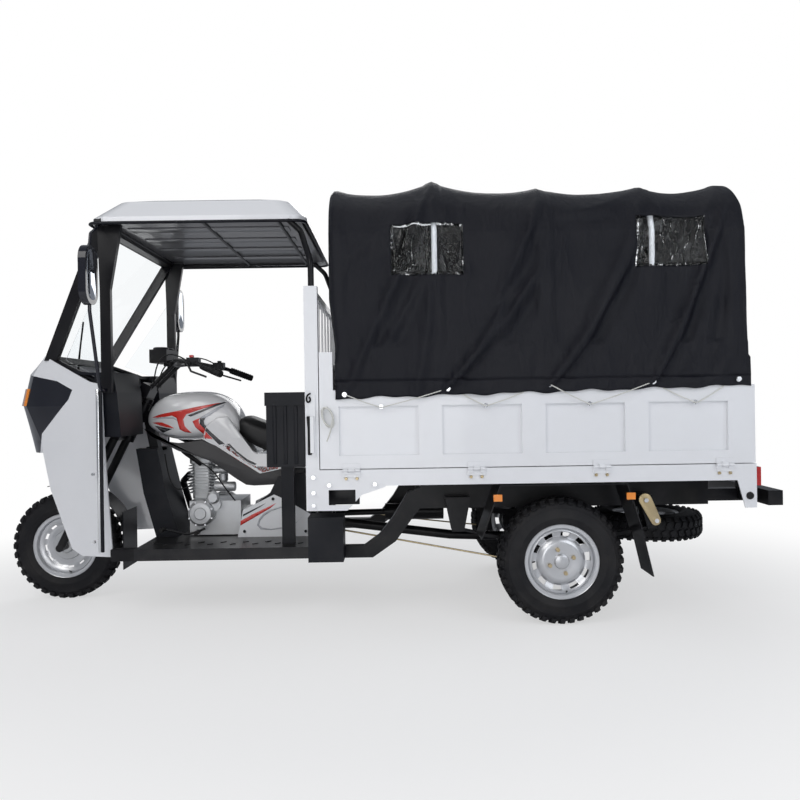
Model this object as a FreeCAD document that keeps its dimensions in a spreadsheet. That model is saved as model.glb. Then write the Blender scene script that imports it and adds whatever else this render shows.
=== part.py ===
import FreeCAD, Part
import Sketcher
import math
import os

# Three-wheeled cargo motorcycle with a rider's cab and a covered load bed, in millimetres.
# +Z is up from the ground, -X is forward, -Y is the vehicle's left side.
# The origin is on the ground under the middle of the overall length.

Vector = FreeCAD.Vector

DRIVING_SIZES = {
    # running gear
    "frontAxleX": -1624, "wheelbase": 2492, "rearTrack": 1150,
    "frontTyreRadius": 281, "frontTyreWidth": 125,
    "rearTyreRadius": 285, "rearTyreWidth": 130,
    "rimSeatRadius": 152.4, "rimFlangeHeight": 15, "rimWall": 4, "hubRadius": 34,
    "runningGap": 0.3, "rakeAngle": 27, "forkOffset": 40, "forkSpread": 100, "forkTubeRadius": 21,
    # chassis
    "railOffset": 400, "railWidth": 50, "railHeight": 100, "mainRailBottom": 505,
    "floorRailBottom": 275, "floorRailHeight": 56, "floorFront": -1240, "railRear": 1617,
    "kickUpFront": -80, "kickUpRear": 238, "plateThickness": 4,
    "axleTubeRadius": 38, "springWidth": 50, "leafThickness": 8,
    # load bed
    "bedFront": -206, "bedLength": 1922, "bedHalfWidth": 700, "sillBottom": 650, "sillHeight": 72,
    "sillWidth": 62, "sideHeight": 350, "sideThickness": 30, "stileHeight": 518, "stileWidth": 60,
    "postDepth": 63, "postWidth": 45, "postTop": 1532, "postBottom": 543, "panelGap": 4,
    "hingeOffset": 12, "knuckleRadius": 7,
    # hoops and cover
    "hoopTubeRadius": 12.5, "hoopOffset": 665, "hoopShoulder": 1770, "hoopTop": 2030,
    "tallHoopLift": 40,
    "coverGap": 5, "coverThickness": 5, "coverBottom": 1112, "hemBottom": 1040, "coverFront": -134,
    # cab
    "cabRear": -1240, "fairingWall": 4, "beltHalfWidth": 510, "roofFront": -1262, "roofRear": -272,
    "roofHalfWidth": 580, "roofEdge": 1850, "roofCrown": 1985, "frameTubeRadius": 13.5,
    # rider's place
    "tankHalfWidth": 135, "boxFront": -492, "boxLength": 182, "boxInner": 175, "boxDepth": 235,
    "boxBottom": 711, "boxHeight": 318, "boxWall": 5, "lidHeight": 40, "lidGap": 0.5,
}

doc = FreeCAD.newDocument("cargo_tricycle")
sheet = doc.addObject("Spreadsheet::Sheet", "Sizes")
for row, (alias, number) in enumerate(DRIVING_SIZES.items(), 1):
    sheet.set(f"A{row}", alias)
    sheet.set(f"B{row}", str(number))
    sheet.setAlias(f"B{row}", alias)
doc.recompute()


class Size:
    """A number that remembers the expression it came from."""

    def __init__(self, value, text):
        self.value, self.text = value, text

    def __float__(self):
        return float(self.value)

    def __add__(self, other):
        return Size(self.value + float(other), f"({self.text} + {words(other)})")

    def __radd__(self, other):
        return Size(float(other) + self.value, f"({words(other)} + {self.text})")

    def __sub__(self, other):
        return Size(self.value - float(other), f"({self.text} - {words(other)})")

    def __rsub__(self, other):
        return Size(float(other) - self.value, f"({words(other)} - {self.text})")

    def __mul__(self, other):
        return Size(self.value * float(other), f"({self.text} * {words(other)})")

    __rmul__ = __mul__

    def __truediv__(self, other):
        return Size(self.value / float(other), f"({self.text} / {words(other)})")

    def __neg__(self):
        return Size(-self.value, f"(0 - {self.text})")


def words(amount):
    return amount.text if isinstance(amount, Size) else f"({float(amount)!r})"


class Sheet:
    """Reads a driving size by its alias."""

    def __getattr__(self, alias):
        return Size(float(getattr(sheet, alias)), f"Sizes.{alias}")


S = Sheet()
nodes = []


def bind(thing, prop, amount):
    thing.setExpression(prop, words(amount))


def at(x, y, z):
    return Vector(float(x), float(y), float(z))


def node(name, thing):
    """Marks a finished object as a sub-part that is written to its own file."""
    thing.Label = name
    nodes.append(thing)
    return thing


def block(name, x, y, z):
    thing = doc.addObject("Part::Box", name)
    for prop, axis, (low, high) in zip(("Length", "Width", "Height"), "xyz", (x, y, z)):
        bind(thing, prop, high - low)
        bind(thing, "Placement.Base." + axis, low)
    return thing


def rod(name, radius, start, length, axis="z"):
    """A cylinder that runs from start along one of the three axes."""
    thing = doc.addObject("Part::Cylinder", name)
    turns = {"x": (Vector(0, 1, 0), 90), "y": (Vector(1, 0, 0), -90), "z": (Vector(0, 0, 1), 0)}
    thing.Placement = FreeCAD.Placement(Vector(), FreeCAD.Rotation(*turns[axis]))
    bind(thing, "Radius", radius)
    bind(thing, "Height", length)
    for letter, place in zip("xyz", start):
        bind(thing, "Placement.Base." + letter, place)
    return thing


def solid(name, shape):
    thing = doc.addObject("Part::Feature", name)
    thing.Shape = shape
    return thing


def fuse(name, things):
    thing = doc.addObject("Part::MultiFuse", name)
    thing.Shapes = things
    return thing


def cut(name, base, tool):
    thing = doc.addObject("Part::Cut", name)
    thing.Base, thing.Tool = base, tool
    return thing


def mirrored(name, source):
    """The same piece on the vehicle's other side."""
    thing = doc.addObject("Part::Mirroring", name)
    thing.Source = source
    thing.Normal = Vector(0, 1, 0)
    return thing


def pair(name, thing):
    """The piece and its mirror image as one sub-part of two solids."""
    return fuse(name, [thing, mirrored(name + "_right", thing)])


def origin_plane(body, role):
    return next(f for f in body.Origin.OriginFeatures if f.Role == role)


def sketch_outline(body, role, points, name="Outline"):
    """A closed outline of straight lines, every corner bound to the sheet."""
    sketch = body.newObject("Sketcher::SketchObject", name)
    sketch.AttachmentSupport = [(origin_plane(body, role), "")]
    sketch.MapMode = "FlatFace"
    corners = [Vector(float(a), float(b), 0) for a, b in points]
    count = len(corners)
    for i in range(count):
        sketch.addGeometry(Part.LineSegment(corners[i], corners[(i + 1) % count]), False)
    for i in range(count):
        sketch.addConstraint(Sketcher.Constraint("Coincident", i, 2, (i + 1) % count, 1))
    for i, (a, b) in enumerate(points):
        for kind, amount in (("DistanceX", a), ("DistanceY", b)):
            if isinstance(amount, Size) or abs(float(amount)) > 1e-9:
                where = sketch.addConstraint(Sketcher.Constraint(kind, -1, 1, i, 1, float(amount)))
                sketch.setExpression(f"Constraints[{where}]", words(amount))
            else:
                line = -2 if kind == "DistanceX" else -1
                sketch.addConstraint(Sketcher.Constraint("PointOnObject", i, 1, line))
    return sketch


def plate(name, role, points, low, high):
    """A pad of an outline between two places along the plane's normal."""
    body = doc.addObject("PartDesign::Body", name)
    sketch = sketch_outline(body, role, points)
    pad = body.newObject("PartDesign::Pad", "Pad")
    pad.Profile = sketch
    bind(pad, "Length", high - low)
    body.Tip = pad
    if role == "XZ_Plane":
        bind(body, "Placement.Base.y", high)
    elif role == "YZ_Plane":
        bind(body, "Placement.Base.x", low)
    else:
        bind(body, "Placement.Base.z", low)
    return body


def turned(name, points):
    """A body turned about its own Y axis; each point is a radius and a place along the axis."""
    body = doc.addObject("PartDesign::Body", name)
    sketch = sketch_outline(body, "XY_Plane", points)
    turn = body.newObject("PartDesign::Revolution", "Revolution")
    turn.Profile = sketch
    turn.ReferenceAxis = (sketch, ["V_Axis"])
    turn.Angle = 360
    body.Tip = turn
    return body


def ring_of_holes(body, radius, pitch_radius, count):
    """Round through holes, spaced evenly about the body's Y axis."""
    doc.recompute()
    sketch = body.newObject("Sketcher::SketchObject", "HoleSketch")
    sketch.AttachmentSupport = [(origin_plane(body, "XZ_Plane"), "")]
    sketch.MapMode = "FlatFace"
    circle = Part.Circle(Vector(float(pitch_radius), 0, 0), Vector(0, 0, 1), float(radius))
    sketch.addGeometry(circle, False)
    size = sketch.addConstraint(Sketcher.Constraint("Radius", 0, float(radius)))
    sketch.setExpression(f"Constraints[{size}]", words(radius))
    sketch.addConstraint(Sketcher.Constraint("PointOnObject", 0, 3, -1))
    place = sketch.addConstraint(Sketcher.Constraint("DistanceX", -1, 1, 0, 3, float(pitch_radius)))
    sketch.setExpression(f"Constraints[{place}]", words(pitch_radius))
    pocket = body.newObject("PartDesign::Pocket", "Holes")
    pocket.Profile = sketch
    pocket.Midplane = True
    pocket.Type = 1
    pattern = body.newObject("PartDesign::PolarPattern", "HolePattern")
    pattern.Originals = [pocket]
    pattern.Axis = (origin_plane(body, "Y_Axis"), [""])
    pattern.Angle = 360
    pattern.Occurrences = count
    body.Tip = pattern
    doc.recompute()
    return body


def move_to(thing, x, y, z):
    for axis, place in zip("xyz", (x, y, z)):
        bind(thing, "Placement.Base." + axis, place)
    return thing


def bent_path(points, bend):
    """Straight runs joined by tangent arcs of one radius."""
    points = [at(*p) for p in points]
    edges, start = [], points[0]
    for before, corner, after in zip(points, points[1:], points[2:]):
        a, b = (before - corner).normalize(), (after - corner).normalize()
        turn = math.pi - a.getAngle(b)
        reach = float(bend) * math.tan(turn / 2)
        first, last = corner + a * reach, corner + b * reach
        middle = (a + b).normalize()
        crown = corner + middle * (float(bend) / math.cos(turn / 2) - float(bend))
        edges.append(Part.LineSegment(start, first).toShape())
        edges.append(Part.Arc(first, crown, last).toShape())
        start = last
    edges.append(Part.LineSegment(start, points[-1]).toShape())
    return Part.Wire(edges)


def tube(points, radius, bend=40, bore=0):
    """A round bar, or a tube with a bore, along a bent path."""
    path = bent_path(points, bend)
    start, along = path.Edges[0].valueAt(path.Edges[0].FirstParameter), path.Edges[0].tangentAt(0)

    def sweep(size):
        circle = Part.Wire([Part.makeCircle(float(size), start, along)])
        return path.makePipeShell([circle], True, False)

    outer = sweep(radius)
    return outer.cut(sweep(bore)) if bore else outer


def post(stations):
    """A leaning box post: each station is x, y, z of the centre with its x and y widths."""
    wires = []
    for x, y, z, wide, thick in stations:
        a, b = wide / 2, thick / 2
        ring = [at(x - a, y - b, z), at(x + a, y - b, z), at(x + a, y + b, z), at(x - a, y + b, z)]
        wires.append(Part.makePolygon(ring + ring[:1]))
    return Part.makeLoft(wires, True, True)


def both_sides(shape):
    return shape.fuse(shape.mirror(Vector(), Vector(0, 1, 0)))


# places that several pieces share
rear_axle_x = S.frontAxleX + S.wheelbase
bed_rear = S.bedFront + S.bedLength
bed_floor_top = S.sillBottom + S.sillHeight
main_rail_top = S.mainRailBottom + S.railHeight
floor_top = S.floorRailBottom + S.floorRailHeight + S.plateThickness
side_top = bed_floor_top + S.sideHeight
wheel_y = S.rearTrack / 2
flange_radius = S.rimSeatRadius + S.rimFlangeHeight


def steer_axis_point(z):
    """The steering axis at a height: it leans back from a point ahead of the front axle."""
    lean = math.tan(math.radians(float(S.rakeAngle)))
    return float(S.frontAxleX + S.forkOffset) + (z - float(S.frontTyreRadius)) * lean


def steer_up():
    lean = math.radians(float(S.rakeAngle))
    return Vector(math.sin(lean), 0, math.cos(lean))


# wheels


def make_tyre(name, radius, width, x, y, z):
    half, seat = width / 2, S.rimSeatRadius
    bead = half - 16
    shape = [
        (seat, -bead), (flange_radius, -bead), (seat + 40, -half), (radius - 42, -half),
        (radius - 12, -half + 6), (radius, -half + 26), (radius, half - 26),
        (radius - 12, half - 6), (radius - 42, half), (seat + 40, half), (flange_radius, bead), (seat, bead),
    ]
    return node(name, move_to(turned(name, shape), x, y, z))


def make_rim(name, width, x, y, z, dish, hub_low, hub_high, vent_count=10):
    """Barrel with two flanges, a dished disc with vents, and a hub about a bore."""
    bead, wall, seat = width / 2 - 16, S.rimWall, S.rimSeatRadius
    inner = seat - wall
    shape = [
        (S.hubRadius - 14, hub_low), (S.hubRadius, hub_low), (S.hubRadius, dish - 5),
        (90, dish - 14), (118, dish - 5), (inner, dish - 5), (inner, -bead - wall),
        (flange_radius, -bead - wall), (flange_radius, -bead), (seat, -bead), (seat, bead),
        (flange_radius, bead), (flange_radius, bead + wall), (inner, bead + wall), (inner, dish + 5),
        (118, dish + 5), (90, dish - 4), (S.hubRadius, dish + 5), (S.hubRadius, hub_high),
        (S.hubRadius - 14, hub_high),
    ]
    body = ring_of_holes(turned(name, shape), 9, 132, vent_count)
    return node(name, move_to(body, x, y, z))


axle_pin_radius = S.hubRadius - 14 - S.runningGap
make_tyre("front_tyre", S.frontTyreRadius, S.frontTyreWidth, S.frontAxleX, 0, S.frontTyreRadius)
make_rim("front_rim", S.frontTyreWidth, S.frontAxleX, 0, S.frontTyreRadius, -6,
         35 - S.forkSpread, S.forkSpread - 35)
for side, sign in (("left", -1), ("right", 1)):
    place = (rear_axle_x, wheel_y * sign, S.rearTyreRadius)
    make_tyre(f"rear_{side}_tyre", S.rearTyreRadius, S.rearTyreWidth, *place)
    hub = (5, 46) if sign > 0 else (-46, -5)
    make_rim(f"rear_{side}_rim", S.rearTyreWidth, *place, 22 * sign, *hub)

spare_x, spare_z = bed_rear - 257, S.rearTyreRadius + 70
spare_tyre = make_tyre("spare_tyre", S.rearTyreRadius, S.rearTyreWidth, spare_x, 0, spare_z)
spare_rim = make_rim("spare_rim", S.rearTyreWidth, spare_x, 0, spare_z, 22, 5, 46)
for thing in (spare_tyre, spare_rim):
    placement = thing.Placement
    placement.Rotation = FreeCAD.Rotation(Vector(1, 0, 0), 90)
    thing.Placement = placement

# chassis


def backbone_route():
    """From the steering head over the engine and under the seat to the bed's front."""
    return [(steer_axis_point(960) + 40, 0, 962), (-900, 0, 872), (-600, 0, 668), (-246, 0, 588)]


def make_rail():
    low, high = S.floorRailBottom, S.floorRailBottom + S.floorRailHeight
    front, rear = S.kickUpFront, S.kickUpRear
    outline = [
        (S.floorFront, low), (front + 90, low), (front + 200, low + 75), (front + 285, low + 190),
        (rear, S.mainRailBottom), (S.railRear, S.mainRailBottom), (S.railRear, main_rail_top),
        (rear, main_rail_top), (rear - 60, main_rail_top - 25), (front + 185, high + 130),
        (front + 120, high + 50), (front + 50, high), (S.floorFront, high),
    ]
    inner, outer = S.railOffset - S.railWidth / 2, S.railOffset + S.railWidth / 2
    return plate("side_rail", "XZ_Plane", outline, -outer, -inner)


def make_chassis():
    rail = make_rail()
    inner = S.railOffset - S.railWidth / 2
    members = []
    floor = (S.floorRailBottom + 6, S.floorRailBottom + S.floorRailHeight)
    main = (S.mainRailBottom + 20, main_rail_top)
    for i, reach in enumerate((150, 330, 620, 980)):
        x = S.floorFront + reach
        members.append(block(f"floor_member_{i}", (x, x + 50), (-inner, inner), floor))
    places = (S.kickUpRear + 30, rear_axle_x - 330, rear_axle_x + 250, spare_x - 25, S.railRear - 50)
    for i, x in enumerate(places):
        members.append(block(f"main_member_{i}", (x, x + 50), (-inner, inner), main))
    tall = (S.floorRailBottom + 6, main_rail_top - 40)
    for i, y in enumerate((-120, 80)):
        x = S.floorFront + 980
        members.append(block(f"engine_mount_{i}", (x, x + 50), (y, y + 40), tall))
    hanger = rod("spare_hanger", 12, (spare_x, 0, spare_z - 15), S.mainRailBottom + 30 - spare_z + 15)
    clamp = rod("spare_clamp", 45, (spare_x, 0, spare_z - 15), 20)
    lean = steer_up()
    start = at(steer_axis_point(870), 0, 870)
    head = solid("steering_head", Part.makeCylinder(30, 180, start - lean * 4, lean))
    bore = solid("steering_bore", Part.makeCylinder(18, 300, start - lean * 60, lean))
    spine = solid("head_gusset", post([
        (steer_axis_point(960) + 36, 0, 925, 54, 50), (steer_axis_point(960) + 44, 0, 985, 54, 50),
    ]))
    down = solid("down_tube", post([
        (-1065, 0, float(floor_top) - 25, 46, 60), (steer_axis_point(960) + 50, 0, 960, 46, 60),
    ]))
    backbone = solid("backbone", tube(backbone_route(), 22, 120))
    bridge = block("backbone_bridge", (S.floorFront + 980, S.floorFront + 1030), (-120, 120), (560, 610))
    legs = [rail, mirrored("side_rail_right", rail), spine, down, backbone, bridge]
    whole = fuse("chassis_parts", members + legs + [head, hanger, clamp])
    return node("chassis_frame", cut("chassis_frame", whole, bore))


make_chassis()


def make_footboard():
    """Chequer floor with a turned-down edge on each side and a lip where the bed begins."""
    half = S.railOffset + S.railWidth / 2 + S.plateThickness + 20
    front, rear = S.floorFront + 120, S.bedFront - 80
    top = block("floor_sheet", (front, rear), (-half, half), (floor_top - S.plateThickness, floor_top))
    hang = (S.floorRailBottom + 6, floor_top)
    edge = block("floor_edge", (front, rear), (-half, S.plateThickness - half), hang)
    slot = block("down_tube_slot", (-1095, -1035), (-34, 34), (floor_top - 10, floor_top + 10))
    sheet_parts = fuse("footboard_parts", [top, edge, mirrored("floor_edge_right", edge)])
    return node("footboard", cut("footboard", sheet_parts, slot))


make_footboard()


def make_frame_cover():
    """Plastic cover over the down tube, from the floor to below the steering head."""
    outer = post([(-1060, 0, float(floor_top), 120, 250), (-1120, 0, 560, 116, 270),
                  (-1165, 0, 790, 110, 240)])
    inner = post([(-1060, 0, float(floor_top) - 1, 112, 242), (-1120, 0, 560, 108, 262),
                  (-1164, 0, 786, 102, 232)])
    slot = Part.makeBox(140, 76, 30, at(-1240, -38, 775))
    return node("frame_cover", solid("frame_cover", outer.cut(inner).cut(slot)))


make_frame_cover()

# axle and springs

spring_y = S.railOffset + S.railWidth / 2 + 8


def make_springs():
    """Leaf packs with their hangers and shackles, outside the rails."""
    front, rear = rear_axle_x - 455, rear_axle_x + 455
    eye_z, seat_z = 415.0, float(S.rearTyreRadius + S.axleTubeRadius)
    things, width = [], float(S.springWidth)
    low = float(spring_y)
    middle = float(rear_axle_x)
    leaf = float(S.leafThickness)
    for i in range(5):
        reach = 440 - 85 * i
        lift = (eye_z - seat_z - 5 * leaf) * (reach / 440) ** 2
        z = seat_z + (4 - i) * leaf
        arc = [at(middle - reach, -low, z + lift), at(middle, -low, z), at(middle + reach, -low, z + lift)]
        upper = [p + Vector(0, 0, leaf) for p in arc]
        face = Part.Face(Part.Wire([
            Part.Arc(*arc).toShape(), Part.LineSegment(arc[2], upper[2]).toShape(),
            Part.Arc(*reversed(upper)).toShape(), Part.LineSegment(upper[0], arc[0]).toShape(),
        ]))
        things.append(face.extrude(Vector(0, -width, 0)))
    pack = things[0].multiFuse(things[1:])
    clip = Part.makeBox(70, width + 16, 70, at(middle - 35, -low - width - 8, seat_z))
    pack = pack.fuse(clip)
    eye = 20
    for x in (float(front), float(rear)):
        pack = pack.fuse(Part.makeCylinder(eye, width, at(x, -low, eye_z + 12), Vector(0, -1, 0)))
    ear = float(S.mainRailBottom)
    hanger = Part.makePolygon([
        at(float(front) - 28, 0, eye_z - 10), at(float(front) + 28, 0, eye_z - 10),
        at(float(front) + 60, 0, ear + 60), at(float(front) - 60, 0, ear + 60),
        at(float(front) - 28, 0, eye_z - 10)])
    shackle = Part.makePolygon([
        at(float(rear) - 22, 0, eye_z - 8), at(float(rear) + 22, 0, eye_z - 8),
        at(float(rear) + 2, 0, ear + 60), at(float(rear) - 62, 0, ear + 60), at(float(rear) - 22, 0, eye_z - 8)])
    cheek_wall = 7
    for outline in (hanger, shackle):
        cheek = Part.Face(outline).extrude(Vector(0, -cheek_wall, 0))
        for y in (cheek_wall - low, -low - width - cheek_wall):
            one = cheek.copy()
            one.translate(Vector(0, y, 0))
            pack = pack.fuse(one)
    for x in (float(front), float(rear) - 30):
        pack = pack.fuse(Part.makeCylinder(9, width + 15, at(x, -low + 7.5, ear + 40), Vector(0, -1, 0)))
    return node("leaf_springs", solid("leaf_springs", both_sides(pack)))


make_springs()


def make_rear_axle():
    """Axle tube with its differential, drums, wheel stubs and the shaft from the engine."""
    tube_end = wheel_y - 40
    x, z = rear_axle_x, S.rearTyreRadius
    beam = rod("axle_tube", S.axleTubeRadius, (x, -tube_end, z), tube_end * 2, "y")
    stub = rod("axle_stub", axle_pin_radius, (x, -wheel_y - 50, z), (wheel_y + 50) * 2, "y")
    drum = rod("brake_drum", 100, (x, -wheel_y + 20, z), 36, "y")
    case = doc.addObject("Part::Sphere", "differential")
    bind(case, "Radius", 105)
    move_to(case, x, 0, z)
    shaft = solid("drive_shaft", tube([
        (float(x) - 90, 0, float(z)), (float(x) - 460, 0, 300), (-300, 0, 392), (-500, 0, 400),
    ], 24, 200))
    parts = [beam, stub, drum, mirrored("brake_drum_right", drum), case, shaft]
    return node("rear_axle", fuse("rear_axle", parts))


make_rear_axle()


def make_rear_fenders():
    """Slanted plates before and behind each rear wheel, joined under the bed, with rubber flaps."""
    x, inner, outer = rear_axle_x, wheel_y - 90, S.bedHalfWidth - 12
    top = S.sillBottom - 8
    wall = 5
    clear = S.rearTyreRadius + 24
    outline = [
        (x - clear - 60, top - 240), (x - clear - 60 + wall, top - 240), (x - clear + 30, top - wall),
        (x + clear - 30, top - wall), (x + clear + 45, top - 245), (x + clear + 45 + wall, top - 245),
        (x + clear - 30 + wall, top), (x - clear + 30 - wall, top),
    ]
    arch = plate("fender_sheet", "XZ_Plane", outline, -outer, -inner)
    flap_line = [
        (x + clear + 44, top - 235), (x + clear + 44 + wall, top - 235), (x + clear + 92, top - 420),
        (x + clear + 86, top - 420),
    ]
    flap = plate("rear_flap", "XZ_Plane", flap_line, -outer + 20, -inner - 20)
    packer = block("fender_packer", (x - 30, x + 30), (-outer, 40 - outer), (top, S.sillBottom))
    return node("rear_fenders", pair("rear_fenders", fuse("left_fender", [arch, flap, packer])))


make_rear_fenders()

# load bed


def make_bed_frame():
    """Side sills, end sills, front bracket plates and rear legs."""
    half, low, high = S.bedHalfWidth, S.sillBottom, bed_floor_top
    front = S.bedFront - S.postDepth
    sill = block("side_sill", (front, bed_rear), (-half, S.sillWidth - half), (low, high))
    slots = [
        (front, low), (front, S.postBottom), (front + 180, S.postBottom), (front + 243, low - 40),
        (front + 348, low - 5), (front + 348, low),
    ]
    bracket = plate("bracket_plate", "XZ_Plane", slots, -half, 6 - half)
    window = block("bracket_slot", (front + 98, front + 216), (-half - 5, 15 - half),
                   (S.postBottom + 24, low - 16))
    leg = plate("rear_leg", "XZ_Plane", [
        (bed_rear - 84, low), (bed_rear - 51, low - 122), (bed_rear, low - 122), (bed_rear, low),
    ], -half, 6 - half)
    side = fuse("bed_side", [sill, cut("bracket", bracket, window), leg])
    inner = half - S.sillWidth
    ends = [
        block("front_sill", (front, front + 40), (-inner, inner), (low, high)),
        block("rear_sill", (bed_rear - 40, bed_rear), (-inner, inner), (low, high)),
    ]
    return node("bed_frame", fuse("bed_frame", [side, mirrored("bed_side_right", side)] + ends))


make_bed_frame()


def make_bed_floor():
    inner = S.bedHalfWidth - S.sillWidth
    front, rear = S.bedFront - S.postDepth + 40, bed_rear - 40
    deck = block("deck_sheet", (front, rear), (-inner, inner), (bed_floor_top - 6, bed_floor_top))
    parts = [deck]
    spacing = (rear - front - 60) / 5
    for i in range(6):
        x = front + spacing * i
        parts.append(block(f"bearer_{i}", (x, x + 60), (-inner, inner), (S.sillBottom, bed_floor_top - 6)))
    for sign in (-1, 1):
        low, high = S.railOffset - S.railWidth / 2, S.railOffset + S.railWidth / 2
        wide = (-high, -low) if sign < 0 else (low, high)
        parts.append(block(f"runner_{sign + 1}", (S.kickUpRear, S.railRear), wide,
                           (main_rail_top, S.sillBottom)))
    return node("bed_floor", fuse("bed_floor", parts))


make_bed_floor()


def make_headboard():
    """Front wall of the bed: two posts, a sheet, rails and a welded grille above it."""
    half, front = S.bedHalfWidth, S.bedFront - S.postDepth
    post_x = (front, S.bedFront - S.panelGap)
    left = block("headboard_post", post_x, (-half, S.postWidth - half), (bed_floor_top, S.postTop))
    inner = half - S.postWidth
    wall_x = (front + 24, front + 28)
    sheet_part = block("headboard_sheet", wall_x, (-inner, inner), (bed_floor_top, bed_floor_top + 500))
    rail_x = (front + 12, front + 40)
    rails = []
    for i, z in enumerate((bed_floor_top, bed_floor_top + 480, S.postTop - 30)):
        rails.append(block(f"headboard_rail_{i}", rail_x, (-inner, inner), (z, z + 30)))
    bars = []
    for i in range(7):
        y = inner * (i + 1) / 4 - inner
        bars.append(block(f"grille_bar_{i}", (front + 22, front + 32), (y - 6, y + 6),
                          (bed_floor_top + 505, S.postTop - 25)))
    parts = [left, mirrored("headboard_post_right", left), sheet_part] + rails + bars
    return node("headboard", fuse("headboard", parts))


make_headboard()

hinge_y, hinge_z = S.bedHalfWidth + S.hingeOffset, bed_floor_top - 2
hinge_places = [S.bedFront + S.bedLength * share for share in (0.0713, 0.357, 0.6436, 0.926)]


def make_drop_side():
    """Drop side with pressed panels, a tall front stile and its hinge knuckles."""
    half, thick = S.bedHalfWidth, S.sideThickness
    low, high = bed_floor_top + S.panelGap, side_top
    front, rear = S.bedFront, bed_rear - S.panelGap
    stile_top = bed_floor_top + S.stileHeight
    outline = [
        (front, low), (rear, low), (rear, high), (front + S.stileWidth, high),
        (front + S.stileWidth, stile_top), (front, stile_top),
    ]
    panel = plate("side_sheet", "XZ_Plane", outline, -half, thick - half)
    bay = (rear - front - S.stileWidth - 40) / 4
    recesses = []
    for i in range(4):
        x = front + S.stileWidth + 25 + bay * i
        span, depth = (x, x + bay - 104), (-half - 5, 14 - half)
        recesses.append(block(f"recess_{i}", span, depth, (low + 58, high - 72)))
    parts = [cut("pressed_side", panel, fuse("recesses", recesses))]
    for i, x in enumerate(hinge_places):
        leaf = block(f"side_leaf_{i}", (x - 38, x + 38), (-half - 5, -half), (low, low + 24))
        web = block(f"side_web_{i}", (x - 14, x + 14), (-hinge_y, -half - 4), (low, low + 8))
        knuckle = rod(f"side_knuckle_{i}", S.knuckleRadius, (x - 14, -hinge_y, hinge_z), 28, "x")
        bore = rod(f"side_bore_{i}", 3.3, (x - 20, -hinge_y, hinge_z), 40, "x")
        parts.append(cut(f"side_hinge_{i}", fuse(f"side_hinge_parts_{i}", [leaf, web, knuckle]), bore))
    return fuse("drop_side", parts)


drop_side = make_drop_side()
node("drop_side_left", drop_side)
node("drop_side_right", mirrored("drop_side_right", drop_side))


def make_side_hinges():
    """Fixed leaves, outer knuckles and pins on the sills, with the side latches on the posts."""
    half, things = S.bedHalfWidth, []
    for i, x in enumerate(hinge_places):
        leaf = block(f"sill_leaf_{i}", (x - 38, x + 38), (-half - 5, -half), (hinge_z - 30, hinge_z - 8))
        webs = [
            block(f"sill_web_{i}_{side}", (x + a, x + b), (-hinge_y, -half - 4), (hinge_z - 16, hinge_z - 4))
            for side, a, b in (("front", -38, -16), ("rear", 16, 38))
        ]
        knuckles = [
            rod(f"sill_knuckle_{i}_{side}", S.knuckleRadius, (x + a, -hinge_y, hinge_z), 22, "x")
            for side, a in (("front", -38), ("rear", 16))
        ]
        pin = rod(f"hinge_pin_{i}", 3, (x - 38, -hinge_y, hinge_z), 76, "x")
        things += [leaf, pin] + webs + knuckles
    x = S.bedFront - S.postDepth / 2
    base = block("latch_base", (x - 14, x + 14), (-half - 8, -half), (782, 1053))
    lever = block("latch_lever", (x - 8, x + 8), (-half - 24, -half - 8), (800, 960))
    fixed = fuse("side_fixings", things + [base, lever])
    return node("side_hinges", pair("side_hinges", fixed))


make_side_hinges()


def make_tailgate():
    half = S.bedHalfWidth - S.sideThickness - S.panelGap
    low, high, thick = bed_floor_top + S.panelGap, side_top, 26
    outer = bed_rear - S.panelGap
    panel = block("tailgate_sheet", (outer - thick, outer), (-half, half), (low, high))
    recesses = [
        block(f"tailgate_recess_{i}", (outer - 12, outer + 5), (y + 50, y + half * 2 / 3 - 50),
              (low + 58, high - 72))
        for i, y in enumerate((-half, -half / 3, half / 3))
    ]
    pressed = cut("tailgate_pressed", panel, fuse("tailgate_recesses", recesses))
    parts = [pressed]
    for i, y in enumerate((-420, 420)):
        leaf = block(f"gate_leaf_{i}", (outer, outer + 5), (y - 38, y + 38), (low, low + 24))
        web = block(f"gate_web_{i}", (outer + 4, outer + 14), (y - 14, y + 14), (low, low + 8))
        knuckle = rod(f"gate_knuckle_{i}", S.knuckleRadius, (outer + 14, y - 14, hinge_z), 28, "y")
        bore = rod(f"gate_bore_{i}", 3.3, (outer + 14, y - 20, hinge_z), 40, "y")
        parts.append(cut(f"gate_hinge_{i}", fuse(f"gate_hinge_parts_{i}", [leaf, web, knuckle]), bore))
    return node("tailgate", fuse("tailgate", parts))


make_tailgate()


def make_gate_hinges():
    """Fixed half of the tailgate hinges, on the rear sill."""
    face, things = bed_rear, []
    axis_x = bed_rear - S.panelGap + 14
    for i, y in enumerate((-420, 420)):
        leaf_z = (hinge_z - 30, hinge_z - 8)
        things.append(block(f"gate_fixed_leaf_{i}", (face, face + 5), (y - 38, y + 38), leaf_z))
        for side, a in (("a", -38), ("b", 16)):
            things.append(block(f"gate_fixed_web_{i}{side}", (face + 4, axis_x), (y + a, y + a + 22),
                                (hinge_z - 16, hinge_z - 4)))
            start = (axis_x, y + a, hinge_z)
            things.append(rod(f"gate_fixed_knuckle_{i}{side}", S.knuckleRadius, start, 22, "y"))
        things.append(rod(f"gate_pin_{i}", 3, (axis_x, y - 38, hinge_z), 76, "y"))
    return node("tailgate_hinges", fuse("tailgate_hinges", things))


make_gate_hinges()


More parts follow.
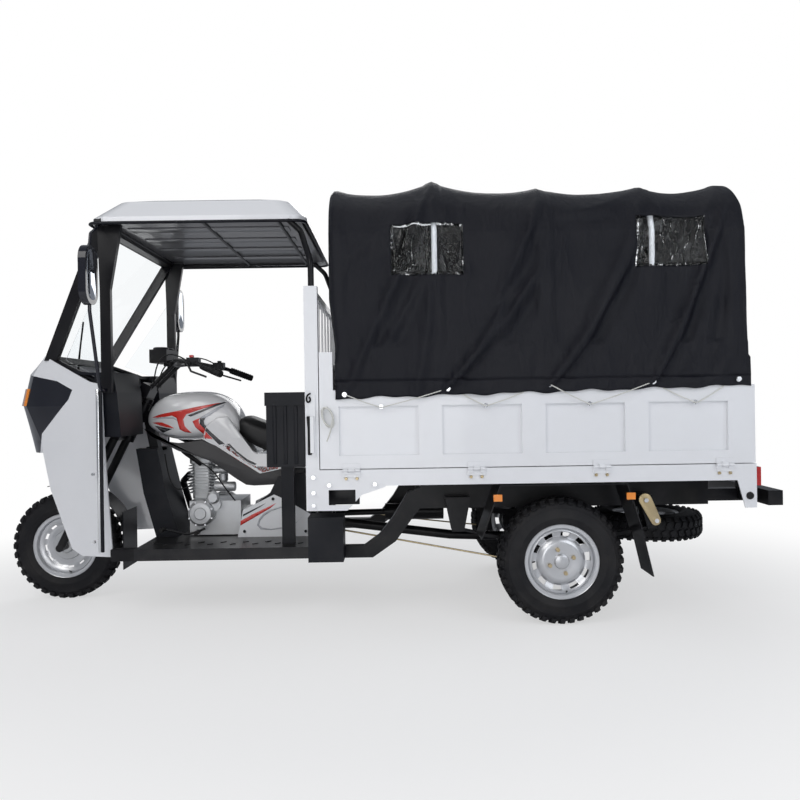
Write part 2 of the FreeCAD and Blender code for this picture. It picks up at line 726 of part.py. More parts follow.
def make_bumper():
    """Rear bumper beam on arms from the rails, with plates that carry the tail lamps."""
    beam = block("bumper_beam", (bed_rear + 122, bed_rear + 189), (-560, 560), (515, 583))
    inner, outer = S.railOffset - S.railWidth / 2, S.railOffset + S.railWidth / 2
    arm = block("bumper_arm", (S.railRear, bed_rear + 122), (-outer, -inner), (520, 578))
    lamp_plate = block("lamp_plate", (bed_rear + 41, bed_rear + 47), (-590, -outer + 20), (530, 700))
    tie = block("lamp_plate_tie", (bed_rear + 47, bed_rear + 122), (-470, -440), (530, 570))
    left = fuse("bumper_side", [arm, lamp_plate, tie])
    return node("rear_bumper", fuse("rear_bumper", [beam, left, mirrored("bumper_side_right", left)]))


make_bumper()


# hoops and cover

hoop_share = (0.0, 0.239, 0.518, 0.7955, 1.0)
hoop_first, hoop_last = S.coverFront + 28, bed_rear - 76
hoop_places = [float(hoop_first + (hoop_last - hoop_first) * share) for share in hoop_share]
hoop_lifts = [0, float(S.tallHoopLift), 0, 0, 0]


def hoop_outline(grow):
    """Half of the hoop's outline, from the foot to the crown, grown outwards."""
    side, top = float(S.hoopOffset) + grow, float(S.hoopTop) + grow
    shoulder = float(S.hoopShoulder)
    return side, shoulder, top


def make_hoops():
    hoops = []
    side, shoulder, top = hoop_outline(-float(S.hoopTubeRadius))
    foot = float(bed_floor_top)
    half_route = [(side, foot), (side, shoulder + 5), (side - 46, shoulder + 122), (side - 177, top - 40),
                  (side - 407, top - 6)]
    for x, lift in zip(hoop_places, hoop_lifts):
        half = half_route[:3] + [(y, z + lift) for y, z in half_route[3:]]
        route = [(x, -y, z) for y, z in half] + [(x, y, z) for y, z in half[::-1]]
        hoops.append(tube(route, S.hoopTubeRadius, 90))
    first, last = hoop_places[0], hoop_places[-1]
    ridge = float(S.hoopTop) + float(S.coverGap) + 5 - 9.2
    hoops.append(Part.makeCylinder(9, last - first, at(first, 0, ridge), Vector(1, 0, 0)))
    for sign in (-1, 1):
        hoops.append(Part.makeCylinder(9, last - first, at(first, sign * side, 1500), Vector(1, 0, 0)))
    whole = hoops[0].multiFuse(hoops[1:])
    # the bows lift out of the legs just under the shoulders
    reach, socket_top = 2 * float(bed_rear), shoulder - 25
    legs = whole.common(Part.makeBox(2 * reach, reach, socket_top, at(-reach, -reach / 2, 0)))
    node("tarp_hoops", solid("tarp_hoops", legs))
    node("hoop_bows", solid("hoop_bows", whole.cut(legs)))


make_hoops()


def cover_section(x, grow, bottom, lift=0):
    """Closed outline of the cover across the vehicle, at x."""
    side, shoulder, top = hoop_outline(float(S.coverGap) - 3 + grow)
    top += lift
    foot = float(S.bedHalfWidth + S.coverGap) + grow
    points = [
        at(x, -foot, bottom), at(x, -side, shoulder), at(x, -side * 0.93, shoulder + 130),
        at(x, -side * 0.72, top - 34), at(x, 0, top + 8), at(x, side * 0.72, top - 34),
        at(x, side * 0.93, shoulder + 130), at(x, side, shoulder), at(x, foot, bottom),
    ]
    edges = [
        Part.LineSegment(points[0], points[1]).toShape(), Part.Arc(*points[1:4]).toShape(),
        Part.Arc(*points[3:6]).toShape(), Part.Arc(*points[5:8]).toShape(),
        Part.LineSegment(points[7], points[8]).toShape(), Part.LineSegment(points[8], points[0]).toShape(),
    ]
    return Part.Wire(edges)


def make_cover():
    """Fabric over the hoops: roof, sides and both end curtains, open underneath."""
    wall, bottom = float(S.coverThickness), float(S.coverBottom)
    front, rear = float(S.coverFront), float(bed_rear) - 22
    middles = list(zip(hoop_places, hoop_lifts))[:3]

    def loft(start, end, grow, foot):
        stations = [(start, 0)] + middles + [(end, 0)]
        return Part.makeLoft([cover_section(x, grow, foot, lift) for x, lift in stations], True, True)

    outer, hollow = loft(front, rear, wall, bottom), loft(front + wall, rear - wall, 0, bottom - 1)
    node("tarp_cover", solid("tarp_cover", outer.cut(hollow)))
    low = S.bedHalfWidth + S.coverGap
    hem = block("tarp_hem_left", (S.coverFront, bed_rear - 22), (-low - S.coverThickness, -low),
                (S.hemBottom, S.coverBottom))
    node("tarp_hem_left", hem)
    node("tarp_hem_right", mirrored("tarp_hem_right", hem))


make_cover()

# cab


def fairing_sections(grow):
    """Plan outlines of the front shell: rear corner half width, front corner and nose at each height."""
    stations = (
        (285, 395, -1490, 335, -1560), (600, 445, -1570, 320, -1700), (850, 482, -1620, 300, -1765),
        (1020, 495, -1690, 300, -1800), (1180, 505, -1640, 318, -1760), (1264, 510, -1575, 338, -1660),
    )
    rear = float(S.cabRear) + (0 if grow >= 0 else 20)
    wires = []
    for z, wide, corner_x, corner_y, nose_x in stations:
        share = float(S.beltHalfWidth) / 510
        wide, corner_y = wide * share + grow, corner_y * share + grow
        corner_x, nose_x = corner_x - grow, nose_x - grow
        a, b = at(rear, -wide, z), at(corner_x, -corner_y, z)
        c, d = at(corner_x, corner_y, z), at(rear, wide, z)
        wires.append(Part.Wire([
            Part.LineSegment(a, b).toShape(), Part.Arc(b, at(nose_x, 0, z), c).toShape(),
            Part.LineSegment(c, d).toShape(), Part.LineSegment(d, a).toShape(),
        ]))
    return wires


def side_prism(points, reach=700):
    ring = [at(x, -reach, z) for x, z in points]
    return Part.Face(Part.makePolygon(ring + ring[:1])).extrude(Vector(0, 2 * reach, 0))


def make_fairing():
    """White front shell with leg shields, split from the dark nose panel."""
    shell = Part.makeLoft(fairing_sections(0), True, True)
    shell = shell.cut(Part.makeLoft(fairing_sections(-float(S.fairingWall)), True, True))
    rear = float(S.cabRear)
    outline = side_prism([
        (-1574, 1262), (-1306, 1132), (rear, 1118), (rear, 290), (-1401, 290), (-1456, 322), (-1481, 384),
        (-1533, 520), (-1569, 612), (-1611, 790), (-1830, 780), (-1830, 1180), (-1700, 1240),
    ])
    nose = side_prism([
        (-1840, 1205), (-1500, 1140), (-1409, 1096), (-1435, 1048), (-1611, 884), (-1640, 770), (-1840, 770),
    ])
    body = shell.common(outline)
    node("nose_panel", solid("nose_panel", body.common(nose)))
    return node("front_fairing", solid("front_fairing", body.cut(nose)))


fairing = make_fairing()


def make_roof():
    """Moulded roof: a rounded plateau on a wider rim, hollow underneath."""
    def ring(x0, x1, half, z, corner):
        plane = Part.makePlane(x1 - x0, 2 * half, at(x0, -half, z))
        flat = plane.extrude(Vector(0, 0, 1))
        upright = [e for e in flat.Edges if abs(e.tangentAt(0).z) > 0.9]
        rounded = flat.makeFillet(corner, upright)
        face = min(rounded.Faces, key=lambda f: f.CenterOfMass.z)
        return face.OuterWire

    def loft(inset):
        front, rear = float(S.roofFront) + inset, float(S.roofRear) - inset
        half, crown = float(S.roofHalfWidth) - inset, float(S.roofCrown) - inset
        low = float(S.roofEdge)
        return Part.makeLoft([
            ring(front, rear, half, low - (0 if not inset else 1), 90),
            ring(front, rear, half, low + 28 - inset * 0.4, 90),
            ring(front + 95, rear - 75, half - 70, crown - 22, 90),
            ring(front + 180, rear - 150, half - 140, crown, 90),
        ], True, True)

    return node("roof_shell", solid("roof_shell", loft(0).cut(loft(4))))


roof = make_roof()


def cab_bars():
    """The bar under the windscreen and the header above it."""
    edge, wide = float(S.roofEdge), float(S.beltHalfWidth)
    header = Part.makeBox(58, 2 * wide - 28, 24, at(-1256, 14 - wide, edge - 14))
    return Part.makeBox(50, 670, 30, at(-1570, -335, 1232)), header


def make_cab_frame():
    """Pillars, header, roof rim and the two rear tubes down to the headboard posts."""
    r = float(S.frameTubeRadius)
    edge = float(S.roofEdge)
    wide = float(S.beltHalfWidth)
    back = float(S.cabRear)
    lean = post([(-1545, 7 - 345, 1240, 60, 30), (-1224, 14 - wide, edge + 10, 60, 30)])
    upright = post([(back + 26, 18 - wide, 1080, 48, 26), (back + 26, 16 - wide, 1560, 48, 26),
                    (-1190, 14 - wide, edge + 10, 110, 26)])
    sill = tube([(-1530, -333, 1240), (back + 22, 24 - wide, 1110)], 12)
    left = lean.multiFuse([upright, sill])
    post_y = float(S.bedHalfWidth - S.postWidth / 2)
    rear_x = float(S.roofRear)
    inner_y = float(S.roofHalfWidth) - 4
    rim_y = inner_y - 12
    rim_z = edge + 12
    front_x = float(S.roofFront) + 30
    rail = tube([(front_x, -rim_y, rim_z), (rear_x - 90, -rim_y, rim_z + 6)], 11)
    foot = float(S.postTop)
    post_x = float(S.bedFront - S.postDepth / 2)
    brace = tube([(rear_x - 90, -rim_y, rim_z + 6), (rear_x - 20, -rim_y - 10, rim_z - 60),
                  (post_x, -post_y, foot + 110), (post_x, -post_y, foot)], r, 50)
    left = left.multiFuse([rail, brace])
    crosses = [
        Part.makeCylinder(9, 2 * inner_y, at(x, -inner_y, rim_z + 1), Vector(0, 1, 0))
        for x in (front_x + 30, (front_x + rear_x) / 2, rear_x - 130)
    ]
    whole = both_sides(left).multiFuse(list(cab_bars()) + crosses)
    return node("cab_frame", solid("cab_frame", whole.cut(fairing.Shape).cut(roof.Shape)))


cab_frame = make_cab_frame()


def make_glass():
    """Windscreen between the leaning pillars, and a quarter pane behind each."""
    wide, edge = float(S.beltHalfWidth), float(S.roofEdge)
    ring = [at(-1562, -322, 1255), at(-1562, 322, 1255),
            at(-1242, wide - 30, edge), at(-1242, 30 - wide, edge)]
    slope = Vector(edge - 1255, 0, -320).normalize()
    screen = Part.Face(Part.makePolygon(ring + ring[:1])).extrude(slope * 5)
    pane = [at(-1455, -385, 1240), at(-1230, 10 - wide, 1140), at(-1230, 10 - wide, 1620)]
    quarter = Part.Face(Part.makePolygon(pane + pane[:1])).extrude(Vector(0, 5, 0))
    glass = [screen.cut(cab_frame.Shape), both_sides(quarter.cut(cab_frame.Shape).cut(fairing.Shape))]
    biggest = [max(glass[0].Solids, key=lambda part: part.Volume)]
    for sign in (-1, 1):
        side = [part for part in glass[1].Solids if part.CenterOfMass.y * sign > 0]
        biggest.append(max(side, key=lambda part: part.Volume))
    return node("windscreen", solid("windscreen", Part.makeCompound(biggest)))


windscreen = make_glass()


def make_dashboard():
    """Inner tray under the windscreen and a pod on each side of the steering stem."""
    tray = Part.Face(Part.makePolygon([
        at(-1560, -345, 1200), at(-1236, -505, 1170), at(-1236, 505, 1170), at(-1560, 345, 1200),
        at(-1560, -345, 1200)]))
    tray = tray.extrude(Vector(0, 0, -14))
    pod = post([(-1215, -300, 870, 90, 300), (-1225, -305, 1080, 90, 330), (-1240, -310, 1175, 90, 340)])
    whole = tray.fuse(both_sides(pod)).cut(fairing.Shape).cut(cab_frame.Shape).cut(windscreen.Shape)
    biggest = max(whole.Solids, key=lambda part: part.Volume)
    return node("dashboard", solid("dashboard", biggest))


make_dashboard()


def make_mirrors():
    """Tall oval mirrors on long arms between the belt and the roof corners."""
    shape = Part.makeCylinder(66, 34, at(-1239, -670, 1532), Vector(1, 0, 0))
    shape = shape.fuse(Part.makeCylinder(66, 34, at(-1239, -670, 1664), Vector(1, 0, 0)))
    shape = shape.fuse(Part.makeBox(34, 132, 132, at(-1239, -736, 1532)))
    arm = tube([(-1214, -490, 1092), (-1222, -560, 1092), (-1222, -660, 1440), (-1222, -660, 1500)], 8, 30)
    stay = tube([(-1222, -660, 1700), (-1222, -640, 1790), (-1215, -530, 1858)], 6, 20)
    side = shape.multiFuse([arm, stay]).cut(cab_frame.Shape).cut(roof.Shape)
    side = max(side.Solids, key=lambda part: part.Volume)
    return node("mirrors", solid("mirrors", both_sides(side)))


make_mirrors()


def make_lamps():
    """Headlight and signals on the nose, tail lamps on their plates, and reflectors on the fenders."""
    x, top = rear_axle_x, float(S.sillBottom) - 8
    clear = float(S.rearTyreRadius) + 24
    half = float(S.bedHalfWidth)
    rear = float(bed_rear) + 47
    cover = Part.makeLoft(fairing_sections(7), True, True).cut(Part.makeLoft(fairing_sections(0), True, True))
    things = [
        cover.common(Part.makeBox(200, 220, 130, at(-1850, -110, 975))),
        cover.common(Part.makeBox(200, 75, 84, at(-1850, -296, 1022))),
        cover.common(Part.makeBox(200, 75, 84, at(-1850, 221, 1022))),
    ]
    for at_x in (float(x) - clear - 5, float(x) + clear - 35):
        things.append(both_sides(Part.makeBox(38, 12, 30, at(at_x, -half, top - 70))))
    things.append(both_sides(Part.makeBox(30, 110, 85, at(rear, -585, 610))))
    solids = [part for thing in things for part in thing.Solids]
    return node("lamps", solid("lamps", Part.makeCompound(solids)))


make_lamps()

# engine


def make_engine():
    """Crankcase as one block with its round covers, on the floor members."""
    top = float(floor_top)
    case = Part.makeBox(265, 250, 175, at(-945, -125, top + 6))
    feet = Part.makeBox(180, 120, 8, at(-905, -60, top))
    cover = Part.makeCylinder(65, 46, at(-875, -125, 459), Vector(0, -1, 0))
    starter = Part.makeCylinder(33, 30, at(-811, -125, 500), Vector(0, -1, 0))
    gearbox = Part.makeBox(170, 150, 110, at(-690, -75, top + 20))
    return node("engine_case", solid("engine_case", case.multiFuse([feet, cover, starter, gearbox])))


make_engine()


def make_cylinder():
    """Finned barrel and head, leaning forward."""
    tilt = FreeCAD.Rotation(Vector(0, 1, 0), -13)
    base = at(-878, 0, float(floor_top) + 181 - 16)
    parts = [Part.makeBox(100, 96, 70, Vector(-50, -48, 0))]
    for i in range(9):
        parts.append(Part.makeBox(124, 120, 4, Vector(-62, -60, 70 + i * 10)))
    parts.append(Part.makeBox(96, 92, 92, Vector(-48, -46, 68)))
    parts.append(Part.makeBox(116, 110, 46, Vector(-58, -55, 158)))
    whole = parts[0].multiFuse(parts[1:])
    whole.Placement = FreeCAD.Placement(base, tilt)
    trim = Part.makeBox(300, 300, 200, at(-1030, -150, float(floor_top) + 181 - 200))
    return node("engine_cylinder", solid("engine_cylinder", whole.cut(trim)))


make_cylinder()


def make_exhaust():
    """Pipe from the head, down the right of the case and back under the bed to a silencer."""
    pipe = tube([(-985, 20, 640), (-1030, 60, 600), (-1020, 190, 420), (-940, 200, 372), (-480, 200, 372),
                 (-380, 235, 385), (60, 240, 390)], 17, 30)
    can = Part.makeCylinder(46, 330, at(60, 240, 390), Vector(1, 0, 0))
    hang = Part.makeBox(30, 6, 120, at(230, 237, 420))
    return node("exhaust", solid("exhaust", pipe.multiFuse([can, hang])))


make_exhaust()

# rider's place


def side_profile(points, half, fillet):
    """A body padded from a side outline to both sides, its long edges rounded."""
    prism = side_prism(points, half)
    flanks = [e for e in prism.Edges if abs(abs(e.CenterOfMass.y) - half) < 0.01]
    return prism.makeFillet(fillet, flanks) if fillet else prism


def backbone_room():
    """Room for the frame's backbone and gusset inside the tank and its covers."""
    return tube(backbone_route(), 26, 120).fuse(Part.makeBox(152, 72, 220, at(-1265, -36, 860)))


def make_seat():
    outline = [(-700, 844), (-711, 905), (-696, 940), (-652, 956), (-600, 925), (-537, 900), (-420, 892),
               (-335, 905), (-318, 930), (-300, 905), (-300, 759), (-600, 759), (-640, 800), (-664, 842)]
    return node("rider_seat", solid("rider_seat", side_profile(outline, 132, 14)))


def make_tank(seat):
    """Fuel tank, narrower towards the steering head."""
    half = float(S.tankHalfWidth)
    outline = [(-1182, 939), (-1131, 1043), (-1067, 1076), (-926, 1085), (-806, 1080), (-714, 1029),
               (-664, 958), (-700, 842), (-872, 838), (-994, 824), (-1064, 834), (-1152, 884)]
    plan = [(-1190, -58), (-1100, -112), (-985, -half - 1), (-640, -half - 1),
            (-640, half + 1), (-985, half + 1), (-1100, 112), (-1190, 58)]
    ring = [at(x, y, 700) for x, y in plan]
    taper = Part.Face(Part.makePolygon(ring + ring[:1])).extrude(Vector(0, 0, 500))
    shape = side_profile(outline, half, 22).common(taper).cut(backbone_room()).cut(seat.Shape)
    return node("fuel_tank", solid("fuel_tank", shape))


LOWER_COVER = [(-1146, 878), (-1064, 829), (-994, 819), (-872, 833), (-802, 804), (-574, 656), (-445, 683),
               (-348, 683), (-343, 646), (-433, 606), (-604, 595), (-673, 623), (-822, 722), (-988, 778)]


def make_lower_cover(tank):
    """Dark cover that runs from below the tank back under the seat cowl."""
    shell = side_prism(LOWER_COVER, 155).cut(side_prism(LOWER_COVER, 132))
    bridge = side_prism([(-604, 600), (-433, 610), (-343, 650), (-343, 662), (-433, 622), (-604, 612)], 133)
    link = side_prism([(-870, 790), (-790, 745), (-790, 770), (-870, 815)], 133)
    whole = shell.multiFuse([bridge, link]).cut(backbone_room()).cut(tank.Shape)
    return node("lower_cover", solid("lower_cover", whole))


def make_seat_cowl(tank, seat, lower):
    """White cowl from the tank back under the seat, on the lower cover."""
    outline = [(-868, 838), (-802, 800), (-574, 652), (-445, 680), (-330, 680), (-330, 758), (-600, 758),
               (-660, 842)]
    shape = side_prism(outline, 150).cut(backbone_room())
    for other in (tank, seat, lower):
        shape = shape.cut(other.Shape)
    shape = max(shape.Solids, key=lambda part: part.Volume)
    return node("seat_cowl", solid("seat_cowl", shape))


seat_cushion = make_seat()
fuel_tank = make_tank(seat_cushion)
lower_cover = make_lower_cover(fuel_tank)
seat_cowl = make_seat_cowl(fuel_tank, seat_cushion, lower_cover)


def make_side_boxes():
    """Open-topped tool box on each side of the seat, its lid hinged along the inner edge."""
    x = (S.boxFront, S.boxFront + S.boxLength)
    inner, outer = S.boxInner, S.boxInner + S.boxDepth
    top = S.boxBottom + S.boxHeight
    wall = S.boxWall
    whole = block("box_block", x, (-outer, -inner), (S.boxBottom, top))
    hollow = block("box_hollow", (x[0] + wall, x[1] - wall), (wall - outer, -inner - wall),
                   (S.boxBottom + wall, top + 10))
    foot = block("box_bracket", (x[0] + 20, x[1] - 20), (-inner, -153), (S.boxBottom + 60, S.boxBottom + 90))
    stand = block("box_stand", (x[0] + 60, x[1] - 60), (-inner - 185, -inner - 155), (floor_top, S.boxBottom))
    left = fuse("left_box", [cut("box_shell", whole, hollow), foot, stand])
    node("side_boxes", pair("side_boxes", left))
    low = top + S.lidGap
    lid_x = (x[0] - 6, x[1] + 6)
    lid = block("lid_block", lid_x, (-outer - 8, -inner - 2), (low - 24, low + S.lidHeight))
    room = block("lid_room", (x[0] - 1, x[1] + 1), (-outer - 3, -inner + 10), (low - 30, low))
    shape = cut("box_lid", lid, room)
    node("box_lid_left", shape)
    node("box_lid_right", mirrored("box_lid_right", shape))


make_side_boxes()


def make_side_covers():
    """White covers low on each side of the seat base, standing on the floor, with the base between."""
    z = float(floor_top)
    outline = [(-688, z), (-659, 473), (-500, 550), (-446, 525), (-314, 447), (-314, z)]
    panel = side_prism(outline, 174).cut(side_prism(outline, 169))
    node("side_covers", solid("side_covers", panel))
    base_outline = [(-650, z), (-640, 470), (-520, 560), (-480, 640), (-350, 660), (-320, 640), (-320, z)]
    base = side_prism(base_outline, 168.5)
    base = base.cut(Part.makeBox(420, 200, 170, at(-700, -100, z - 10))).cut(backbone_room())
    base = base.cut(side_prism(LOWER_COVER, 156)).cut(lower_cover.Shape).cut(seat_cowl.Shape)
    base = base.cut(Part.makeBox(300, 400, 60, at(-600, -145, z + 150)))
    base = max(base.Solids, key=lambda part: part.Volume)
    node("seat_base", solid("seat_base", base))


make_side_covers()
box_outer = S.railOffset + S.railWidth / 2
node("battery_box", block("battery_box", (S.bedFront - 76, S.bedFront + 86), (-box_outer - 135, -box_outer),
                          (S.floorRailBottom + 10, 491)))

# steering


def make_fork():
    """Two legs, yokes, stem and the front axle."""
    spread, r = float(S.forkSpread), float(S.forkTubeRadius)
    lean = math.radians(float(S.rakeAngle))
    up = Vector(math.sin(lean), 0, math.cos(lean))
    back = Vector(math.cos(lean), 0, -math.sin(lean))
    axle = at(S.frontAxleX, 0, S.frontTyreRadius)
    ahead = axle - back * 2
    leg_low = ahead + up * -10
    leg = Part.makeCylinder(r, 640, leg_low + Vector(0, -spread, 0), up)
    leg = both_sides(leg)
    pin_r = float(axle_pin_radius)
    pin = Part.makeCylinder(pin_r, 2 * spread + 40, axle + Vector(0, -spread - 20, 0), Vector(0, 1, 0))
    stem_base = at(steer_axis_point(870), 0, 870)
    parts = [leg, pin]
    for along, thick in ((-44, 34), (182, 24)):
        centre = stem_base + up * along
        yoke = Part.makeBox(54, 2 * spread + 42, thick, Vector(-62, -spread - 21, 0))
        yoke = yoke.fuse(Part.makeCylinder(30, thick))
        yoke.Placement = FreeCAD.Placement(centre, FreeCAD.Rotation(Vector(0, 1, 0), math.degrees(lean)))
        parts.append(yoke)
    parts.append(Part.makeCylinder(17.5, 246, stem_base + up * -40, up))
    upper = Part.makeCylinder(r - 2, 215, leg_low + up * 625 + Vector(0, -spread, 0), up)
    parts.append(both_sides(upper))
    return node("front_fork", solid("front_fork", parts[0].multiFuse(parts[1:])))


make_fork()


def make_front_fender():
    """Mudguard over the top and back of the front wheel, with a rubber flap."""
    x, z = float(S.frontAxleX), float(S.frontTyreRadius)
    inner, half = float(S.frontTyreRadius) + 42, float(S.frontTyreWidth) / 2 + 14
    ring = Part.makeCylinder(inner + 4, 2 * half, at(x, -half, z), Vector(0, 1, 0))
    ring = ring.cut(Part.makeCylinder(inner, 2 * half, at(x, -half, z), Vector(0, 1, 0)))
    keep = side_prism([(x - 60, z + 60), (x - 90, z + 500), (x + 500, z + 500),
                       (x + 500, z + 30), (x, z + 30)])
    arch = ring.common(keep)
    flap = Part.makeBox(5, 200, 300, at(x + inner - 2, -100, z - 120))
    up, lean = steer_up(), math.radians(float(S.rakeAngle))
    foot = at(x - 2 * math.cos(lean), -float(S.forkSpread), z + 2 * math.sin(lean)) - up * 10
    leg = Part.makeCylinder(float(S.forkTubeRadius), 640, foot, up)
    place = at(x, 0, z) + up * (inner + 2)
    stay = Part.makeBox(44, 30, 16, at(place.x - 22, -half - 16, place.z - 4)).cut(leg)
    stay = max(stay.Solids, key=lambda part: abs(part.CenterOfMass.y + half - 5) < 20)
    return node("front_fender", solid("front_fender", arch.multiFuse([flap, both_sides(stay)])))


make_front_fender()


def make_handlebar():
    """Bar on risers above the top yoke, with grips, levers and the instrument pod."""
    left = [(-1040, 0, 1226), (-1030, -90, 1232), (-985, -190, 1246), (-838, -300, 1214), (-715, -380, 1163)]
    right = [(x, -y, z) for x, y, z in left[::-1]]
    bar = tube(right[:-1] + left, 11, 25)
    parts = [bar]
    for sign in (-1, 1):
        parts.append(tube([(-815, sign * 315, 1205), (-715, sign * 380, 1163)], 16))
        parts.append(Part.makeBox(60, 50, 44, at(-905, sign * 262 - 25, 1206)))
        lever = [(-905, sign * 275, 1225), (-870, sign * 330, 1180), (-780, sign * 395, 1150)]
        parts.append(tube(lever, 5, 20))
        parts.append(tube([(-1040, sign * 45, 1226), (-1172, sign * 45, 1100)], 12))
    parts.append(Part.makeBox(90, 200, 70, at(-1150, -100, 1236)))
    parts.append(Part.makeBox(60, 140, 30, at(-1085, -70, 1220)))
    up = steer_up()
    pad = Part.makeBox(54, 130, 70, Vector(-46, -65, 0))
    pad.Placement = FreeCAD.Placement(
        at(steer_axis_point(870), 0, 870) + up * 206, FreeCAD.Rotation(Vector(0, 1, 0), float(S.rakeAngle))
    )
    parts.append(pad)
    return node("handlebar", solid("handlebar", parts[0].multiFuse(parts[1:])))


make_handlebar()

# check and write

doc.recompute()
for thing in doc.Objects:
    if "Invalid" in thing.State or "Error" in thing.State:
        raise RuntimeError(f"{thing.Name} failed: {thing.State}")
os.makedirs("parts", exist_ok=True)
for thing in nodes:
    if thing.Shape.isNull() or not thing.Shape.isValid():
        raise RuntimeError(f"{thing.Label} has no valid shape")
    thing.Shape.exportStep(f"parts/{thing.Label}.step")
print(len(nodes), "sub-parts written")
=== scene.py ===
import math
import random

import bmesh
import bpy
from mathutils import Matrix, Vector, noise
from mathutils.bvhtree import BVHTree


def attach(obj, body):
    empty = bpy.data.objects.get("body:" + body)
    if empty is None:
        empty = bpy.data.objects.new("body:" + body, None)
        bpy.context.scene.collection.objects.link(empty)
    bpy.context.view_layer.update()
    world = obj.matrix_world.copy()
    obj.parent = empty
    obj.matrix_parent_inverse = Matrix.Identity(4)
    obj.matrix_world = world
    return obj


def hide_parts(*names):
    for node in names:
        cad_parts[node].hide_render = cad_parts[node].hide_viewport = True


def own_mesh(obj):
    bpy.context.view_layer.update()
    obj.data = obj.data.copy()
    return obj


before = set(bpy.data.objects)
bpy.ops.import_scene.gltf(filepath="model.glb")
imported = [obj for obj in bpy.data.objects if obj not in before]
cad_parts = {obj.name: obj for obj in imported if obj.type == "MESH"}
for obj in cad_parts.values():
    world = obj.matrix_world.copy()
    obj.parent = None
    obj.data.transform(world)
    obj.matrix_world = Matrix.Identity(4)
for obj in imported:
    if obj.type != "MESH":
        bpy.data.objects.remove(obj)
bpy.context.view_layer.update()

cameraSizes = {"place": (0.130, -3.900, 1.0355), "lens": 32.776, "yaw": 0.0058, "pitch": -0.0032, "roll": -0.015}


def placeCamera(sizes):
    yaw, pitch, roll = sizes["yaw"], sizes["pitch"], sizes["roll"]
    ahead = Vector((math.sin(yaw) * math.cos(pitch), math.cos(yaw) * math.cos(pitch), math.sin(pitch)))
    level = Vector((math.cos(yaw), -math.sin(yaw), 0))
    over = level.cross(ahead)
    right = level * math.cos(roll) + over * math.sin(roll)
    up = over * math.cos(roll) - level * math.sin(roll)
    data = bpy.data.cameras.new("viewCamera")
    data.lens = sizes["lens"]
    data.sensor_width = 36
    camera = bpy.data.objects.new("viewCamera", data)
    turn = Matrix((right, up, -ahead)).transposed().to_4x4()
    camera.matrix_world = Matrix.Translation(sizes["place"]) @ turn
    bpy.context.scene.collection.objects.link(camera)
    bpy.context.scene.camera = camera


placeCamera(cameraSizes)
print("camera placed")

studio = {"floorTone": (0.93, 0.93, 0.94), "skyTone": (0.80, 0.84, 0.92), "skyLevel": 0.30, "reach": 30,
          "fade": (1.6, 3.6, 0.55, 1.0)}


def splitRays(tree, seen, plain):
    # the camera and clear glass see one shade, and light comes from the other
    nodes, links = tree.nodes, tree.links
    path = nodes.new("ShaderNodeLightPath")
    either = nodes.new("ShaderNodeMath")
    either.operation = "MAXIMUM"
    links.new(path.outputs["Is Camera Ray"], either.inputs[0])
    links.new(path.outputs["Is Transmission Ray"], either.inputs[1])
    mix = nodes.new("ShaderNodeMixShader")
    links.new(either.outputs[0], mix.inputs[0])
    links.new(plain.outputs[0], mix.inputs[1])
    links.new(seen.outputs[0], mix.inputs[2])
    return mix


def buildStudio(sizes):
    scene = bpy.context.scene
    scene.view_settings.view_transform = "Standard"
    world = bpy.data.worlds.new("studioSky")
    world.use_nodes = True
    scene.world = world
    tree = world.node_tree
    plain = tree.nodes["Background"]
    plain.inputs["Color"].default_value = (*sizes["skyTone"], 1)
    plain.inputs["Strength"].default_value = sizes["skyLevel"]
    seen = tree.nodes.new("ShaderNodeBackground")
    seen.inputs["Color"].default_value = (1, 1, 1, 1)
    mix = splitRays(tree, seen, plain)
    tree.links.new(mix.outputs[0], tree.nodes["World Output"].inputs["Surface"])

    reach = sizes["reach"]
    mesh = bpy.data.meshes.new("floor")
    mesh.from_pydata([(-reach, -reach, 0), (reach, -reach, 0), (reach, reach, 0), (-reach, reach, 0)], [],
                     [(0, 1, 2, 3)])
    floor = bpy.data.objects.new("floor", mesh)
    scene.collection.objects.link(floor)
    paper = bpy.data.materials.new("paperFloor")
    paper.use_nodes = True
    shader = paper.node_tree.nodes["Principled BSDF"]
    shader.inputs["Base Color"].default_value = (*sizes["floorTone"], 1)
    shader.inputs["Roughness"].default_value = 0.9
    shader.inputs["Specular IOR Level"].default_value = 0.1
    tree = paper.node_tree
    glow = tree.nodes.new("ShaderNodeEmission")
    spot = tree.nodes.new("ShaderNodeTexCoord")
    away = tree.nodes.new("ShaderNodeVectorMath")
    away.operation = "LENGTH"
    tree.links.new(spot.outputs["Object"], away.inputs[0])
    fade = tree.nodes.new("ShaderNodeMapRange")
    fade.interpolation_type = "SMOOTHSTEP"
    for label, value in zip(("From Min", "From Max", "To Min", "To Max"), sizes["fade"]):
        fade.inputs[label].default_value = value
    tree.links.new(away.outputs["Value"], fade.inputs["Value"])
    mix = splitRays(tree, glow, shader)
    part = tree.nodes.new("ShaderNodeMath")
    part.operation = "MULTIPLY"
    seen = mix.inputs[0].links[0].from_socket
    tree.links.new(seen, part.inputs[0])
    tree.links.new(fade.outputs["Result"], part.inputs[1])
    tree.links.new(part.outputs[0], mix.inputs[0])
    tree.links.new(mix.outputs[0], tree.nodes["Material Output"].inputs["Surface"])
    floor.data.materials.append(paper)


